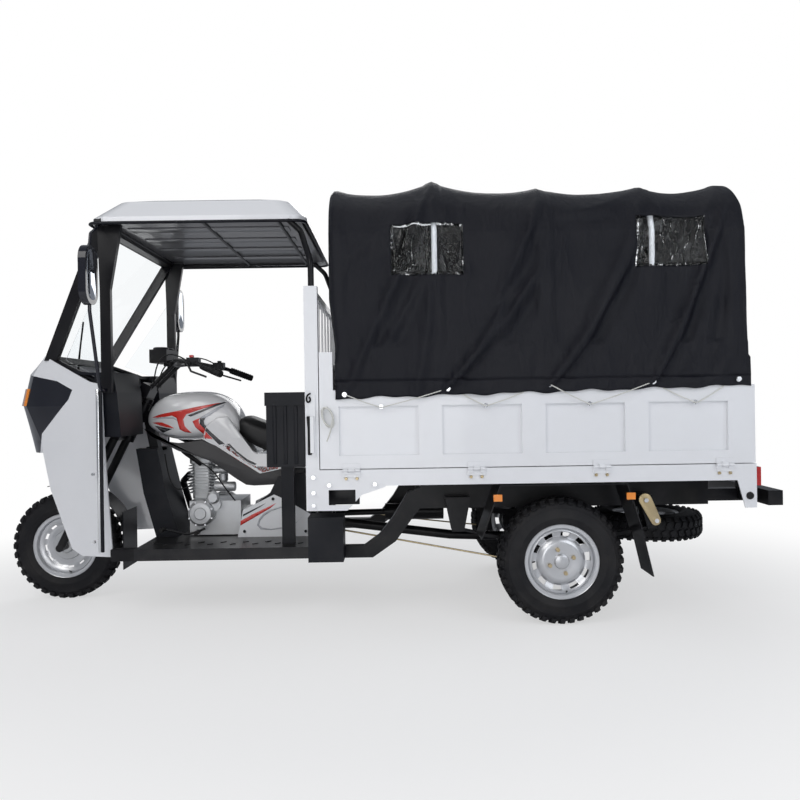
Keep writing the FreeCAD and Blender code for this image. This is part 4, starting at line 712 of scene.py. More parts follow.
def buildCover(sizes):
    profile = coverProfile(sizes)
    half = len(profile)
    windows = sizes["windows"]
    count = round((sizes["rear"] - sizes["front"]) / sizes["step"])
    xs = [sizes["front"] + (sizes["rear"] - sizes["front"]) * i / count for i in range(count + 1)]
    xs = snapTo(xs, [edge for window in windows for edge in window[:2]])
    zs = snapTo([p[1] for p in profile], [edge for window in windows for edge in window[2:]])
    for point, z in zip(profile, zs):
        point.y = z
    section = [(-p.x, p.y) for p in profile] + [(p.x, p.y) for p in profile[-2::-1]]
    rows = len(section)
    random.seed(7)
    mirrorFolds = [(x0 + random.uniform(-0.05, 0.05), z0, x1 + random.uniform(-0.08, 0.08), z1, w, h)
                   for x0, z0, x1, z1, w, h in coverFolds]
    crease = sizes["seam"]

    def settle(x, row):
        y, z = section[row]
        side = -1 if row < half - 1 else 1
        sag, rise = hoopWave(x, sizes)
        share = max(0.0, min(1.0, (z - sizes["shoulder"]) / 0.24))  # 0 on the side, 1 on the roof
        z += rise * share ** 1.2 - sizes["sagTop"] * sag * share
        away = -sizes["sagSide"] * sag * (1 - share) * min(1.0, max(0.0, (z - 1.15) / 0.3))
        folds = coverFolds if side < 0 else mirrorFolds
        away += foldHeight(x, z, folds, 0.02) * (1 - 0.8 * share)
        rumple = noise.noise(Vector((x * 3.1, side * 7.7, z * 2.3))) * 0.010
        rumple += noise.noise(Vector((x * 9.0 + z * 5.0, side * 3.3, z * 6.0))) * 0.0045
        rumple += noise.noise(Vector((x * 26.0, side * 5.1, z * 20.0))) * 0.0012
        away += rumple * (1 - 0.5 * share)
        if min(abs(x - hoop) for hoop in sizes["hoops"]) < 0.035 and z > sizes["seam"]:
            away = max(away, 0.0015)  # it can't pass inside a hoop
        if z <= crease + 0.001:  # the hem hangs free outside the drop side and lifts toward the rear
            along = (x - sizes["front"]) / (sizes["rear"] - sizes["front"])
            foot = sizes["hemFront"] + (sizes["hemRear"] - sizes["hemFront"]) * along
            foot += 0.004 * math.sin(x * 21.0) + 0.003 * math.sin(x * 47.0 + side)
            low = section[0][1]
            z = crease - (crease - z) * (crease - foot) / (crease - low)
        away = away if z > 1.26 else max(away, -0.0015)
        end = min(x - sizes["front"], sizes["rear"] - x)
        soft = max(0.0, 1 - end / 0.018)
        inset = 0.018 * (1 - math.sqrt(max(0.0, 1 - soft * soft)))
        lean = 0.0
        if x < sizes["front"] + 0.25:
            lean = -sizes["frontLean"] * (1 - (x - sizes["front"]) / 0.25) * min(1.0, max(0.0, (z - 1.27) / 0.2))
        outward = Vector((0, y, 0)).normalized() if share < 0.02 else \
            Vector((0, y * (1 - share), sizes["halfShoulder"] * share)).normalized()
        spot = Vector((x + lean, y, z)) + outward * (away - inset * (1 if z > 1.2 else 0.1))
        if abs(spot.y) < 0.3:  # the ridge rail holds the middle up between hoops
            spot.z = max(spot.z, sizes["ridge"] - 0.16 * abs(spot.y))
        return spot

    points = [settle(x, row) for x in xs for row in range(rows)]
    pieces = {"shell": [], "windows": [], "hemLeft": [], "hemRight": []}
    mid = half - 1
    for i in range(len(xs) - 1):
        centreX = (xs[i] + xs[i + 1]) / 2
        for row in range(rows - 1):
            z0, z1 = section[row][1], section[row + 1][1]
            centreZ = (z0 + z1) / 2
            face = (i * rows + row, (i + 1) * rows + row, (i + 1) * rows + row + 1, i * rows + row + 1)
            if centreZ < crease:
                pieces["hemLeft" if row < mid else "hemRight"].append(face)
            elif any(a < centreX < b and c < centreZ < d for a, b, c, d in windows):
                pieces["windows"].append(face)
            else:
                pieces["shell"].append(face)

    # end curtains: rows across from one side of the section to the other
    def curtain(column, outwardSign):
        ring = [points[column * rows + row] for row in range(rows)]
        start = len(points)
        across = 46
        grid = {}
        for level in range(mid + 1):
            left, right = ring[level], ring[rows - 1 - level]
            leftIndex, rightIndex = column * rows + level, column * rows + rows - 1 - level
            for k in range(across + 1):
                if k == 0:
                    grid[level, k] = leftIndex
                elif k == across or level == mid:
                    grid[level, k] = rightIndex
                else:
                    t = k / across
                    spot = left.lerp(right, t)
                    belly = math.sin(math.pi * t) * math.sin(math.pi * min(1.0, level / mid * 0.9 + 0.05))
                    drape = noise.noise(Vector((outwardSign * 3.0, spot.y * 5.0, spot.z * 0.9))) * 0.016
                    drape += noise.noise(Vector((outwardSign * 5.0, spot.y * 14.0, spot.z * 1.6))) * 0.007
                    keep = min(1.0, t * 8, (1 - t) * 8)
                    spot.x += outwardSign * (0.006 * belly + (drape + 0.004) * keep)
                    spot.x = max(spot.x, -0.196) if spot.z < 1.55 else spot.x
                    grid[level, k] = start
                    points.append(spot)
                    start += 1
        faces = []
        firstLevel = next(i for i in range(mid) if section[i][1] >= crease - 1e-6)
        for level in range(firstLevel, mid):
            for k in range(across):
                quad = [grid[level, k], grid[level, k + 1], grid[level + 1, k + 1], grid[level + 1, k]]
                quad = [v for n, v in enumerate(quad) if v not in quad[:n]]
                if len(quad) > 2:
                    faces.append(tuple(quad) if outwardSign > 0 else tuple(quad[::-1]))
        return faces

    pieces["shell"] += curtain(0, -1) + curtain(len(xs) - 1, 1)

    def part(name, faces, paint, slot, wall):
        used = sorted({v for face in faces for v in face})
        renumber = {v: i for i, v in enumerate(used)}

        def build(shape):
            verts = [shape.verts.new(points[v]) for v in used]
            for face in faces:
                shape.faces.new([verts[renumber[v]] for v in face])
        thing = seatPiece(name, meshFrom(build), paint, None, slot, True, 80)
        thicken = thing.modifiers.new("wall", "SOLIDIFY")
        thicken.thickness = wall
        thicken.offset = 0
        bakeModifiers(thing)
        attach(thing, "chassis")
        return thing

    shell = part("loadCover", pieces["shell"], "coverFabric", "canvas", sizes["wall"])
    panes = part("coverWindows", pieces["windows"], "clearVinyl", "glass", 0.0006)
    hems = [part("coverHemLeft", pieces["hemLeft"], "coverFabric", "canvas", sizes["wall"]),
            part("coverHemRight", pieces["hemRight"], "coverFabric", "canvas", sizes["wall"])]
    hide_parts("tarp_cover")
    for hem, side in zip(hems, ("left", "right")):
        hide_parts(f"tarp_hem_{side}")
        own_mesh(hem)
    return shell, panes, hems


coverShell, coverPanes, coverHems = buildCover(loadCover)
print("load cover hung")

lacing = {
    "diameter": 0.006, "face": 0.722, "hemFace": 0.7035, "bend": 0.716, "hookZ": 0.993,
    "hookX": (0.065, 0.525, 0.982, 1.448),
    "runs": (  # eyelet or hem, hook, eyelet or hem
        ((-0.094, 1.053), (0.065, 0.993), (0.359, 1.072)), ((0.423, 1.048), (0.525, 0.993), (0.693, 1.052)),
        ((0.806, 1.083), (0.982, 0.993), (1.260, 1.090)), ((1.305, 1.062), (1.448, 0.993), (1.576, 1.066)),
    ),
}


def curvePath(points):
    curve = bpy.data.curves.new("guide", "CURVE")
    curve.dimensions = "3D"
    curve.resolution_u = 8
    spline = curve.splines.new("NURBS")
    spline.points.add(len(points) - 1)
    for point, place in zip(spline.points, points):
        point.co = (*place, 1)
    spline.order_u = 3
    spline.use_endpoint_u = True
    guide = bpy.data.objects.new("guide", curve)
    bpy.context.scene.collection.objects.link(guide)
    line = bpy.data.meshes.new_from_object(guide.evaluated_get(bpy.context.evaluated_depsgraph_get()))
    path = [tuple(v.co) for v in line.vertices]
    bpy.data.meshes.remove(line)
    bpy.data.objects.remove(guide)
    return path


def laceRope(name, points, diameter):
    path = curvePath(points)
    strands = []
    for k in range(3):
        run, strand = 0.0, []
        for i, place in enumerate(path):
            here = Vector(place)
            ahead = (Vector(path[min(i + 1, len(path) - 1)]) - Vector(path[max(i - 1, 0)])).normalized()
            if i:
                run += (here - Vector(path[i - 1])).length
            across = ahead.cross(Vector((0, 1, 0))).normalized()
            over = across.cross(ahead)
            angle = run / 0.022 * math.tau + math.tau * k / 3
            strand.append(here + (across * math.cos(angle) + over * math.sin(angle)) * diameter * 0.22)
        strands.append(strand)
    rope = tubePiece(name, strands, diameter * 0.28, "ropeWhite", "chassis", "canvas", False, 1)
    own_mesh(rope)
    return rope


def densePath(points):
    # the two ends and the hook bend of one lacing run, with a slack middle to each leg
    route = [points[0]]
    for a, b in zip(points, points[1:]):
        a, b = Vector(a), Vector(b)
        route.append(tuple(a.lerp(b, 0.10)))
        route.append(tuple(a.lerp(b, 0.5) + Vector((0, 0, -0.003))))
        route.append(tuple(a.lerp(b, 0.92)))
        route.append(tuple(b))
    return route


def buildLacing(sizes):
    for side, sign in (("left", -1), ("right", 1)):
        for i, run in enumerate(sizes["runs"]):
            inner = sign * sizes["hemFace" if i % 2 else "face"]
            places = [(run[0][0], inner, run[0][1]), (run[1][0], sign * sizes["bend"], run[1][1]),
                      (run[2][0], inner, run[2][1])]
            laceRope(f"lacing_{side}_{i}", densePath(places), sizes["diameter"])
        spots = [((x, sign * 0.7015, sizes["hookZ"] + 0.004), Vector((0, sign, 0)), rearward)
                 for x in sizes["hookX"]]
        fittings(f"hookPlates_{side}", boltTree, spots, {"Width": 0.011, "Length": 0.010, "Height": 0.004,
                 "Sides": 16}, "chrome", f"drop_side_{side}")
        hooks = [[(x, sign * 0.701, sizes["hookZ"] + 0.006), (x, sign * 0.711, sizes["hookZ"] + 0.004),
                  (x, sign * 0.7195, sizes["hookZ"] - 0.006), (x, sign * 0.723, sizes["hookZ"] + 0.004)]
                 for x in sizes["hookX"]]
        tubePiece(f"ropeHooks_{side}", hooks, 0.0022, "chrome", f"drop_side_{side}", "white_paint")
        spots = []
        for x, z in loadCover["eyelets"]:
            spots.append(((x, sign * 0.7175, z), Vector((0, sign, 0)), rearward))
        fittings(f"eyelets_{side}", boltTree, spots, {"Width": 0.013, "Length": 0.010, "Height": 0.005, "Sides": 20},
                 "chrome", "chassis")


buildLacing(lacing)
print("cover laced")

wheels = {
    "front": {"centre": (-1.624, 0.0, 0.281), "radius": 0.281, "half": 0.0625, "body": "front_wheel",
              "tyre": "front_tyre", "rim": "front_rim", "lugs": 34},
    "rearLeft": {"centre": (0.868, -0.575, 0.285), "radius": 0.285, "half": 0.065, "body": "rear_wheel_left",
                 "tyre": "rear_left_tyre", "rim": "rear_left_rim", "lugs": 40},
    "rearRight": {"centre": (0.868, 0.575, 0.285), "radius": 0.285, "half": 0.065, "body": "rear_wheel_right",
                  "tyre": "rear_right_tyre", "rim": "rear_right_rim", "lugs": 40},
    "spare": {"centre": (1.459, 0.0, 0.355), "radius": 0.285, "half": 0.065, "body": "chassis",
              "tyre": "spare_tyre", "rim": "spare_rim", "lugs": 40},
}


def tyreProfile(radius, half):
    side = [(0.1530, half - 0.016), (0.1675, half - 0.0155), (0.172, half - 0.010), (0.182, half - 0.0045),
            (0.196, half - 0.0012), (0.199, half + 0.0004), (0.2025, half + 0.0002), (0.205, half - 0.0012),
            (0.222, half - 0.0025), (0.238, half - 0.0065), (0.241, half - 0.0060), (0.244, half - 0.0085),
            (radius - 0.026, half - 0.0135), (radius - 0.015, half - 0.022), (radius - 0.0105, half - 0.034),
            (radius - 0.0085, half - 0.050)]
    return side + [(r, -y) for r, y in side[::-1]]


def turnFlat(thing, centre):
    # lays a wheel piece down about its own centre
    turn = Matrix.Rotation(math.radians(90), 4, "X")
    thing.data.transform(Matrix.Translation(centre) @ turn @ Matrix.Translation(-Vector(centre)))
    return thing


def treadSpots(centre, radius, half, count):
    centres, shoulders = [], []
    for i in range(count):
        for sign, shift in ((-1, 0.0), (1, 0.5)):
            angle = math.tau * (i + shift) / count
            out = Vector((math.cos(angle), 0, math.sin(angle)))
            way = Vector((-math.sin(angle), 0, math.cos(angle)))
            lean = (way * 0.94 + Vector((0, sign * 0.34, 0))).normalized()
            spot = Vector(centre) + out * (radius - 0.0052) + Vector((0, sign * half * 0.28, 0))
            centres.append((spot, out, lean))
            facing = (out * 0.80 + Vector((0, sign * 0.60, 0))).normalized()
            spot = Vector(centre) + out * (radius - 0.0150) + Vector((0, sign * (half - 0.0175), 0))
            shoulders.append((spot, facing, way))
    return centres, shoulders


def buildTyre(name, facts):
    centre, radius, half, body = facts["centre"], facts["radius"], facts["half"], facts["body"]
    tyre = lathe(f"{name}Tyre", tyreProfile(radius, half), centre, "tyreRubber", body, "tyre", 96, "Y", 40)
    centres, shoulders = treadSpots(centre, radius, half, facts["lugs"])
    pitch = math.tau * radius / facts["lugs"]
    blocks = fittings(f"{name}TreadBlocks", lugTree, centres, {"Width": pitch * 0.60, "Length": half * 0.46,
                      "Height": 0.0100}, "tyreRubber", body)
    edges = fittings(f"{name}ShoulderBlocks", lugTree, shoulders, {"Width": pitch * 0.50, "Length": 0.024,
                     "Height": 0.014}, "tyreRubber", body)
    pieces = [tyre, blocks, edges]
    for piece in (blocks, edges):
        bevel = piece.modifiers.new("softEdges", "BEVEL")
        bevel.width = 0.0012
        bevel.segments = 1
        bakeModifiers(piece)
    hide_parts(facts["tyre"])
    return pieces


def slottedDisc(name, profile, centre, slots, slotBand, share, body, wall=0.0035, flip=1):
    # a turned sheet with slots left out of one band of it
    steps = slots * 8

    def build(shape):
        rings = []
        for i in range(steps):
            angle = math.tau * i / steps
            rings.append([shape.verts.new(Vector(centre) + Vector((r * math.cos(angle), y * flip,
                                                                   r * math.sin(angle)))) for r, y in profile])
        for i in range(steps):
            here, there = rings[i], rings[(i + 1) % steps]
            for j in range(len(profile) - 1):
                if j == slotBand and (i % 8) < round(share * 8):
                    continue
                shape.faces.new((here[j], here[j + 1], there[j + 1], there[j]))
    thing = seatPiece(name, meshFrom(build), "wheelSilver", None, "wheel_silver", True, 45)
    thicken = thing.modifiers.new("wall", "SOLIDIFY")
    thicken.thickness = wall
    thicken.offset = 0
    bakeModifiers(thing)
    thing.data.shade_smooth()
    thing.data.set_sharp_from_angle(angle=math.radians(45))
    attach(thing, body)
    return thing


def buildRim(name, facts, flip):
    # flip is -1 where the dished face looks to the vehicle's left
    centre, half, body = facts["centre"], facts["half"], facts["body"]
    bead = half - 0.016
    front = name == "front"
    barrel = [(0.1672, -bead - 0.0035), (0.1690, -bead - 0.0010), (0.1672, -bead + 0.0005), (0.1535, -bead + 0.001),
              (0.1500, -bead + 0.010), (0.1500, bead - 0.010), (0.1535, bead - 0.001), (0.1672, bead - 0.0005),
              (0.1690, bead + 0.0010), (0.1672, bead + 0.0035)]
    pieces = [slottedDisc(f"{name}Barrel", barrel, centre, 12, -1, 0, body, 0.0032)]
    if front:
        dish = [(0.1495, 0.024), (0.1440, 0.030), (0.1360, 0.029), (0.1230, 0.021), (0.1130, 0.013), (0.1000, 0.010),
                (0.0860, 0.016), (0.0760, 0.017), (0.0330, 0.017)]
    else:
        dish = [(0.1495, 0.026), (0.1440, 0.036), (0.1380, 0.038), (0.1340, 0.034), (0.1130, 0.022), (0.1100, 0.022),
                (0.1040, 0.030), (0.0900, 0.041), (0.0780, 0.043), (0.0600, 0.038), (0.0330, 0.038)]
    slots = 12 if front else 10
    pieces.append(slottedDisc(f"{name}Dish", dish, centre, slots, 3, 0.52, body, 0.0035, flip))
    if front:
        drum = [(0.0, 0.058), (0.018, 0.058), (0.020, 0.050), (0.034, 0.048), (0.042, 0.030), (0.074, 0.026),
                (0.079, 0.018), (0.079, -0.030), (0.030, -0.040), (0.0, -0.040)]
        pieces.append(lathe(f"{name}Drum", [(r, y * flip) for r, y in drum], centre, "castMetal", body,
                            "wheel_silver", 48))
    else:
        cap = [(0.0, 0.058), (0.022, 0.057), (0.030, 0.054), (0.0345, 0.046), (0.0350, 0.036), (0.0330, 0.030),
               (0.0, 0.030)]
        pieces.append(lathe(f"{name}Cap", [(r, y * flip) for r, y in cap], centre, "wheelSilver", body,
                            "wheel_silver", 40))
    way = Vector((0, flip, 0))
    spots = []
    for i in range(4):
        angle = math.tau * (i + 0.2) / 4
        out = Vector((math.cos(angle), 0, math.sin(angle)))
        place = Vector(centre) + out * 0.056 + way * (0.0245 if front else 0.044)
        spots.append((place, way, out))
    if not front:
        pieces.append(fittings(f"{name}WheelNuts", boltTree, spots, {"Width": 0.0105, "Length": 0.0085,
                      "Height": 0.013, "Sides": 6}, "goldZinc", body))
    valve = Vector(centre) + Vector((0.02, 0.030 * flip, -0.1425))
    pieces.append(tubePiece(f"{name}Valve", [[valve, valve + Vector((0.0, 0.022 * flip, 0.010))]], 0.0034,
                            "softRubber", body, "tyre", False))
    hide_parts(facts["rim"])
    return pieces


for wheelName, wheelFacts in wheels.items():
    made = buildTyre(wheelName, wheelFacts)
    made += buildRim(wheelName, wheelFacts, -1 if wheelName in ("front", "rearLeft") else 1)
    if wheelName == "spare":
        for thing in made:
            turnFlat(thing, wheelFacts["centre"])
print("wheels made")

tankStations = (  # x, bottom, top, half width
    (-1.181, 0.925, 0.952, 0.040), (-1.176, 0.905, 0.978, 0.058), (-1.160, 0.888, 1.008, 0.078),
    (-1.135, 0.872, 1.036, 0.095), (-1.100, 0.853, 1.058, 0.110), (-1.060, 0.838, 1.073, 0.121),
    (-1.010, 0.829, 1.081, 0.130), (-0.950, 0.828, 1.085, 0.1345), (-0.890, 0.834, 1.085, 0.1345),
    (-0.830, 0.838, 1.080, 0.1315), (-0.780, 0.841, 1.062, 0.127), (-0.735, 0.843, 1.032, 0.121),
    (-0.705, 0.843, 0.995, 0.116), (-0.688, 0.846, 0.955, 0.110), (-0.682, 0.862, 0.915, 0.098),
)


def loftBody(name, stations, paint, slot, body, power=2.7, belly=0.44, steps=40, detail=1):
    # superellipse sections along x, fullest a little below the middle
    def build(shape):
        rings = []
        for x, low, high, half in stations:
            middle = low + (high - low) * belly
            ring = []
            for i in range(steps):
                angle = math.tau * i / steps
                c, s = math.cos(angle), math.sin(angle)
                y = half * math.copysign(abs(c) ** (2 / power), c)
                reach = (high - middle) if s > 0 else (middle - low)
                z = middle + reach * math.copysign(abs(s) ** (2 / power), s)
                ring.append(shape.verts.new((x, y, z)))
            rings.append(ring)
        for here, there in zip(rings, rings[1:]):
            for i in range(steps):
                j = (i + 1) % steps
                shape.faces.new((here[i], here[j], there[j], there[i]))
        for ring in (rings[0], rings[-1]):
            centre = shape.verts.new(sum((v.co for v in ring), Vector()) / steps)
            for i in range(steps):
                shape.faces.new((ring[i], ring[(i + 1) % steps], centre))
    thing = seatPiece(name, meshFrom(build), paint, None, slot, True, 70)
    smooth = thing.modifiers.new("smooth", "SUBSURF")
    smooth.levels = smooth.render_levels = detail
    bakeModifiers(thing)
    thing.data.shade_smooth()
    if body:
        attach(thing, body)
    return thing


tank = loftBody("fuelTank", tankStations, "pearlPaint", "pearl_paint", "chassis")
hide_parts("fuel_tank")

cowlParts = {
    "outline": [(-0.868, 0.846), (-0.805, 0.806), (-0.700, 0.730), (-0.574, 0.648), (-0.500, 0.664), (-0.440, 0.681),
                (-0.345, 0.683), (-0.335, 0.720), (-0.345, 0.752), (-0.580, 0.757), (-0.618, 0.778), (-0.655, 0.835),
                (-0.700, 0.900), (-0.738, 0.955), (-0.790, 0.950), (-0.850, 0.905)],
    "half": 0.149, "round": 0.016,
}


def cowlSide(sizes):
    # white side panels that run from the tank back under the seat
    for side, sign in (("left", -1), ("right", 1)):
        prismPiece(f"cowlPanel_{side}", sizes["outline"], sign * (sizes["half"] - 0.022), sign * sizes["half"],
                   "pearlPaint", "chassis", "pearl_paint", "XZ", 0.009)


cowlSide(cowlParts)
coverLine = [(-1.146, 0.878), (-1.120, 0.853), (-1.064, 0.829), (-0.994, 0.819), (-0.930, 0.824), (-0.872, 0.833),
             (-0.802, 0.804), (-0.690, 0.728), (-0.574, 0.656), (-0.510, 0.668), (-0.445, 0.683), (-0.348, 0.683),
             (-0.343, 0.646), (-0.380, 0.620), (-0.433, 0.606), (-0.520, 0.598), (-0.604, 0.595), (-0.645, 0.600),
             (-0.690, 0.628), (-0.760, 0.678), (-0.822, 0.722), (-0.900, 0.752), (-0.988, 0.778), (-1.080, 0.826)]
for side, sign in (("left", -1), ("right", 1)):
    prismPiece(f"underCover_{side}", coverLine, sign * 0.133, sign * 0.155, "darkPlastic", "chassis",
               "dark_plastic", "XZ", 0.007)
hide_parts("lower_cover")

seatStations = (
    (-0.710, 0.880, 0.902, 0.062), (-0.704, 0.866, 0.926, 0.084), (-0.690, 0.848, 0.944, 0.103),
    (-0.660, 0.826, 0.955, 0.119), (-0.620, 0.800, 0.940, 0.126), (-0.570, 0.776, 0.918, 0.129),
    (-0.510, 0.766, 0.902, 0.130), (-0.440, 0.763, 0.895, 0.130), (-0.380, 0.763, 0.898, 0.129),
    (-0.340, 0.765, 0.910, 0.126), (-0.316, 0.772, 0.918, 0.118), (-0.304, 0.790, 0.900, 0.100),
)


def stuffSeat(thing):
    # swell the covered foam a little, under pressure and with no gravity
    scene = bpy.context.scene
    remesh = thing.modifiers.new("even", "REMESH")
    remesh.mode = "VOXEL"
    remesh.voxel_size = 0.008
    bakeModifiers(thing)
    start = [v.co.copy() for v in thing.data.vertices]
    cloth = thing.modifiers.new("stuffing", "CLOTH")
    cloth.settings.use_pressure = True
    cloth.settings.uniform_pressure_force = 3.0
    cloth.settings.effector_weights.gravity = 0.0
    for number in range(1, 17):
        scene.frame_set(number)
    bakeModifiers(thing)
    scene.frame_set(1)
    cap = 0.006
    for vertex, before in zip(thing.data.vertices, start):
        moved = vertex.co - before
        if moved.length > cap:
            moved = moved * (cap / moved.length)
        vertex.co = before + moved
    return thing


seat = loftBody("riderSeat", seatStations, "seatVinyl", "seat_vinyl", None, 3.0, 0.55, 36, 1)
stuffSeat(seat)
seat.data.materials.clear()
seat.data.materials.append(paints["seatVinyl"])
seat.data.shade_smooth()
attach(seat, "chassis")
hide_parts("rider_seat")
print("tank and seat made")


def solidTree(things):
    points, faces = [], []
    for thing in things:
        base = len(points)
        points += [thing.matrix_world @ v.co for v in thing.data.vertices]
        faces += [[base + v for v in polygon.vertices] for polygon in thing.data.polygons]
    return BVHTree.FromPolygons(points, faces)


def decal(name, outline, sign, target, paint, slot, body="chassis", lift=0.0007, grid=0.010):
    # a flat outline laid against the surface beside it
    shape = bmesh.new()
    shape.faces.new([shape.verts.new((x, 0, z)) for x, z in outline])
    lows = [min(p[i] for p in outline) for i in (0, 1)]
    highs = [max(p[i] for p in outline) for i in (0, 1)]
    for low, high, normal in ((lows[0], highs[0], (1, 0, 0)), (lows[1], highs[1], (0, 0, 1))):
        place = low + grid
        while place < high - 0.001:
            spot = (place, 0, 0) if normal[0] else (0, 0, place)
            bmesh.ops.bisect_plane(shape, geom=shape.verts[:] + shape.edges[:] + shape.faces[:], plane_co=spot,
                                   plane_no=normal)
            place += grid
    bmesh.ops.triangulate(shape, faces=shape.faces[:])
    last = sign * 0.14
    inner = []
    for vertex in shape.verts:
        hit = target.ray_cast(Vector((vertex.co.x, sign * 1.0, vertex.co.z)), Vector((0, -sign, 0)))[0]
        last = hit.y if hit else last
        inner.append(last)
    shape.faces.ensure_lookup_table()
    shape.verts.index_update()
    points = [(v.co.x, inner[v.index] + sign * lift, v.co.z) for v in shape.verts]
    faces = [[v.index for v in face.verts] for face in shape.faces]
    shape.free()

    def build(copy):
        verts = [copy.verts.new(p) for p in points]
        for face in faces:
            copy.faces.new([verts[i] for i in face])
    thing = seatPiece(name, meshFrom(build), paint, None, slot, True, 60)
    thicken = thing.modifiers.new("film", "SOLIDIFY")
    thicken.thickness = 0.0004
    thicken.offset = 0
    bakeModifiers(thing)
    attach(thing, body)
    return thing


tankStripes = (
    ("stripeRed", [(-1.143, 0.951), (-1.100, 0.966), (-1.050, 0.976), (-0.980, 0.988), (-0.900, 1.004),
                   (-0.800, 1.021), (-0.762, 1.026), (-0.800, 1.014), (-0.880, 0.990), (-0.952, 0.966),
                   (-0.969, 0.940), (-0.962, 0.905), (-0.931, 0.868), (-0.966, 0.874), (-0.990, 0.888),
                   (-0.997, 0.918), (-1.004, 0.948), (-1.030, 0.960), (-1.090, 0.950)]),
    ("stripeRed", [(-1.143, 0.924), (-1.110, 0.927), (-1.083, 0.925), (-1.040, 0.908), (-1.018, 0.894),
                   (-1.060, 0.900), (-1.100, 0.910)]),
    ("stripeBlack", [(-1.128, 0.908), (-1.080, 0.900), (-1.030, 0.891), (-1.060, 0.880), (-1.089, 0.870)]),
    ("stripeGrey", [(-1.150, 0.940), (-1.080, 0.946), (-1.020, 0.944), (-1.000, 0.930), (-1.006, 0.944),
                    (-1.020, 0.952), (-1.090, 0.954)]),
    ("stripeGrey", [(-1.165, 0.925), (-1.158, 0.905), (-1.130, 0.880), (-1.085, 0.860), (-0.990, 0.848),
                    (-0.900, 0.850), (-0.990, 0.853), (-1.080, 0.866), (-1.120, 0.886), (-1.148, 0.908)]),
    ("stripeBlack", [(-0.946, 0.961), (-0.860, 0.992), (-0.808, 1.014), (-0.755, 1.031), (-0.757, 1.022),
                     (-0.820, 0.998), (-0.909, 0.962), (-0.930, 0.954)]),
)
cowlStripes = (
    ("stripeRed", [(-0.921, 0.929), (-0.905, 0.938), (-0.881, 0.946), (-0.889, 0.932), (-0.886, 0.918),
                   (-0.850, 0.876), (-0.800, 0.822), (-0.784, 0.806), (-0.826, 0.812), (-0.870, 0.860),
                   (-0.908, 0.899)]),
    ("stripeBlack", [(-0.881, 0.946), (-0.855, 0.944), (-0.863, 0.930), (-0.860, 0.912), (-0.820, 0.870),
                     (-0.775, 0.830), (-0.752, 0.812), (-0.782, 0.807), (-0.830, 0.858), (-0.884, 0.914)]),
    ("stripeGrey", [(-0.881, 0.949), (-0.820, 0.985), (-0.760, 1.016), (-0.764, 1.004), (-0.812, 0.972),
                    (-0.856, 0.944)]),
    ("stripeRed", [(-0.792, 0.803), (-0.745, 0.812), (-0.715, 0.785), (-0.683, 0.753), (-0.640, 0.716),
                   (-0.600, 0.696), (-0.520, 0.688), (-0.453, 0.684), (-0.520, 0.672), (-0.579, 0.656),
                   (-0.640, 0.690), (-0.704, 0.736)]),
    ("stripeBlack", [(-0.742, 0.812), (-0.728, 0.812), (-0.690, 0.772), (-0.640, 0.732), (-0.590, 0.706),
                     (-0.600, 0.700), (-0.640, 0.718), (-0.684, 0.756)]),
    ("stripeWhite", [(-0.806, 0.802), (-0.796, 0.800), (-0.704, 0.732), (-0.580, 0.652), (-0.452, 0.681),
                     (-0.452, 0.676), (-0.580, 0.645), (-0.706, 0.724)]),
)
coverStripes = (
    ("stripeRed", [(-0.674, 0.394), (-0.672, 0.418), (-0.600, 0.456), (-0.520, 0.492), (-0.489, 0.506),
                   (-0.520, 0.480), (-0.560, 0.458), (-0.620, 0.424)]),
    ("stripeBlack", [(-0.661, 0.440), (-0.659, 0.451), (-0.600, 0.480), (-0.540, 0.508), (-0.570, 0.488)]),
    ("stripeGrey", [(-0.589, 0.395), (-0.580, 0.425), (-0.557, 0.452), (-0.520, 0.474), (-0.470, 0.488),
                    (-0.400, 0.487), (-0.470, 0.480), (-0.516, 0.465), (-0.550, 0.443), (-0.572, 0.418),
                    (-0.578, 0.396), (-0.560, 0.382), (-0.517, 0.376), (-0.440, 0.386), (-0.385, 0.408),
                    (-0.350, 0.440), (-0.390, 0.402), (-0.440, 0.379), (-0.517, 0.369), (-0.570, 0.374)]),
)


def paintStripes():
    upper = solidTree([tank, bpy.data.objects["cowlPanel_left"], bpy.data.objects["cowlPanel_right"]])
    lower = solidTree([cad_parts["side_covers"]])
    for side, sign in (("left", -1), ("right", 1)):
        for i, (paint, outline) in enumerate(tankStripes + cowlStripes):
            lift = 0.0008 + 0.0004 * (i % 3)
            decal(f"tankStripe_{side}_{i}", outline, sign, upper, paint, "pearl_paint", lift=lift)
        for i, (paint, outline) in enumerate(coverStripes):
            decal(f"panelStripe_{side}_{i}", outline, sign, lower, paint, "white_plastic", lift=0.0008)


paintStripes()
print("stripes painted")

engineFacts = {
    "finLow": 0.548, "finHigh": 0.690, "fins": 10, "finWall": 0.0035, "centreX": -0.905,
    "stator": (-0.875, 0.459, 0.066), "filler": (-0.811, 0.539, 0.032), "left": -0.171, "right": 0.125,
}


def roundedRing(centreX, centreY, halfX, halfY, corner, steps=5):
    ring = []
    for sx, sy, start in ((1, 1, 0), (-1, 1, 90), (-1, -1, 180), (1, -1, 270)):
        for i in range(steps + 1):
            angle = math.radians(start + 90 * i / steps)
            ring.append((centreX + sx * (halfX - corner) + corner * math.cos(angle),
                         centreY + sy * (halfY - corner) + corner * math.sin(angle)))
    return ring


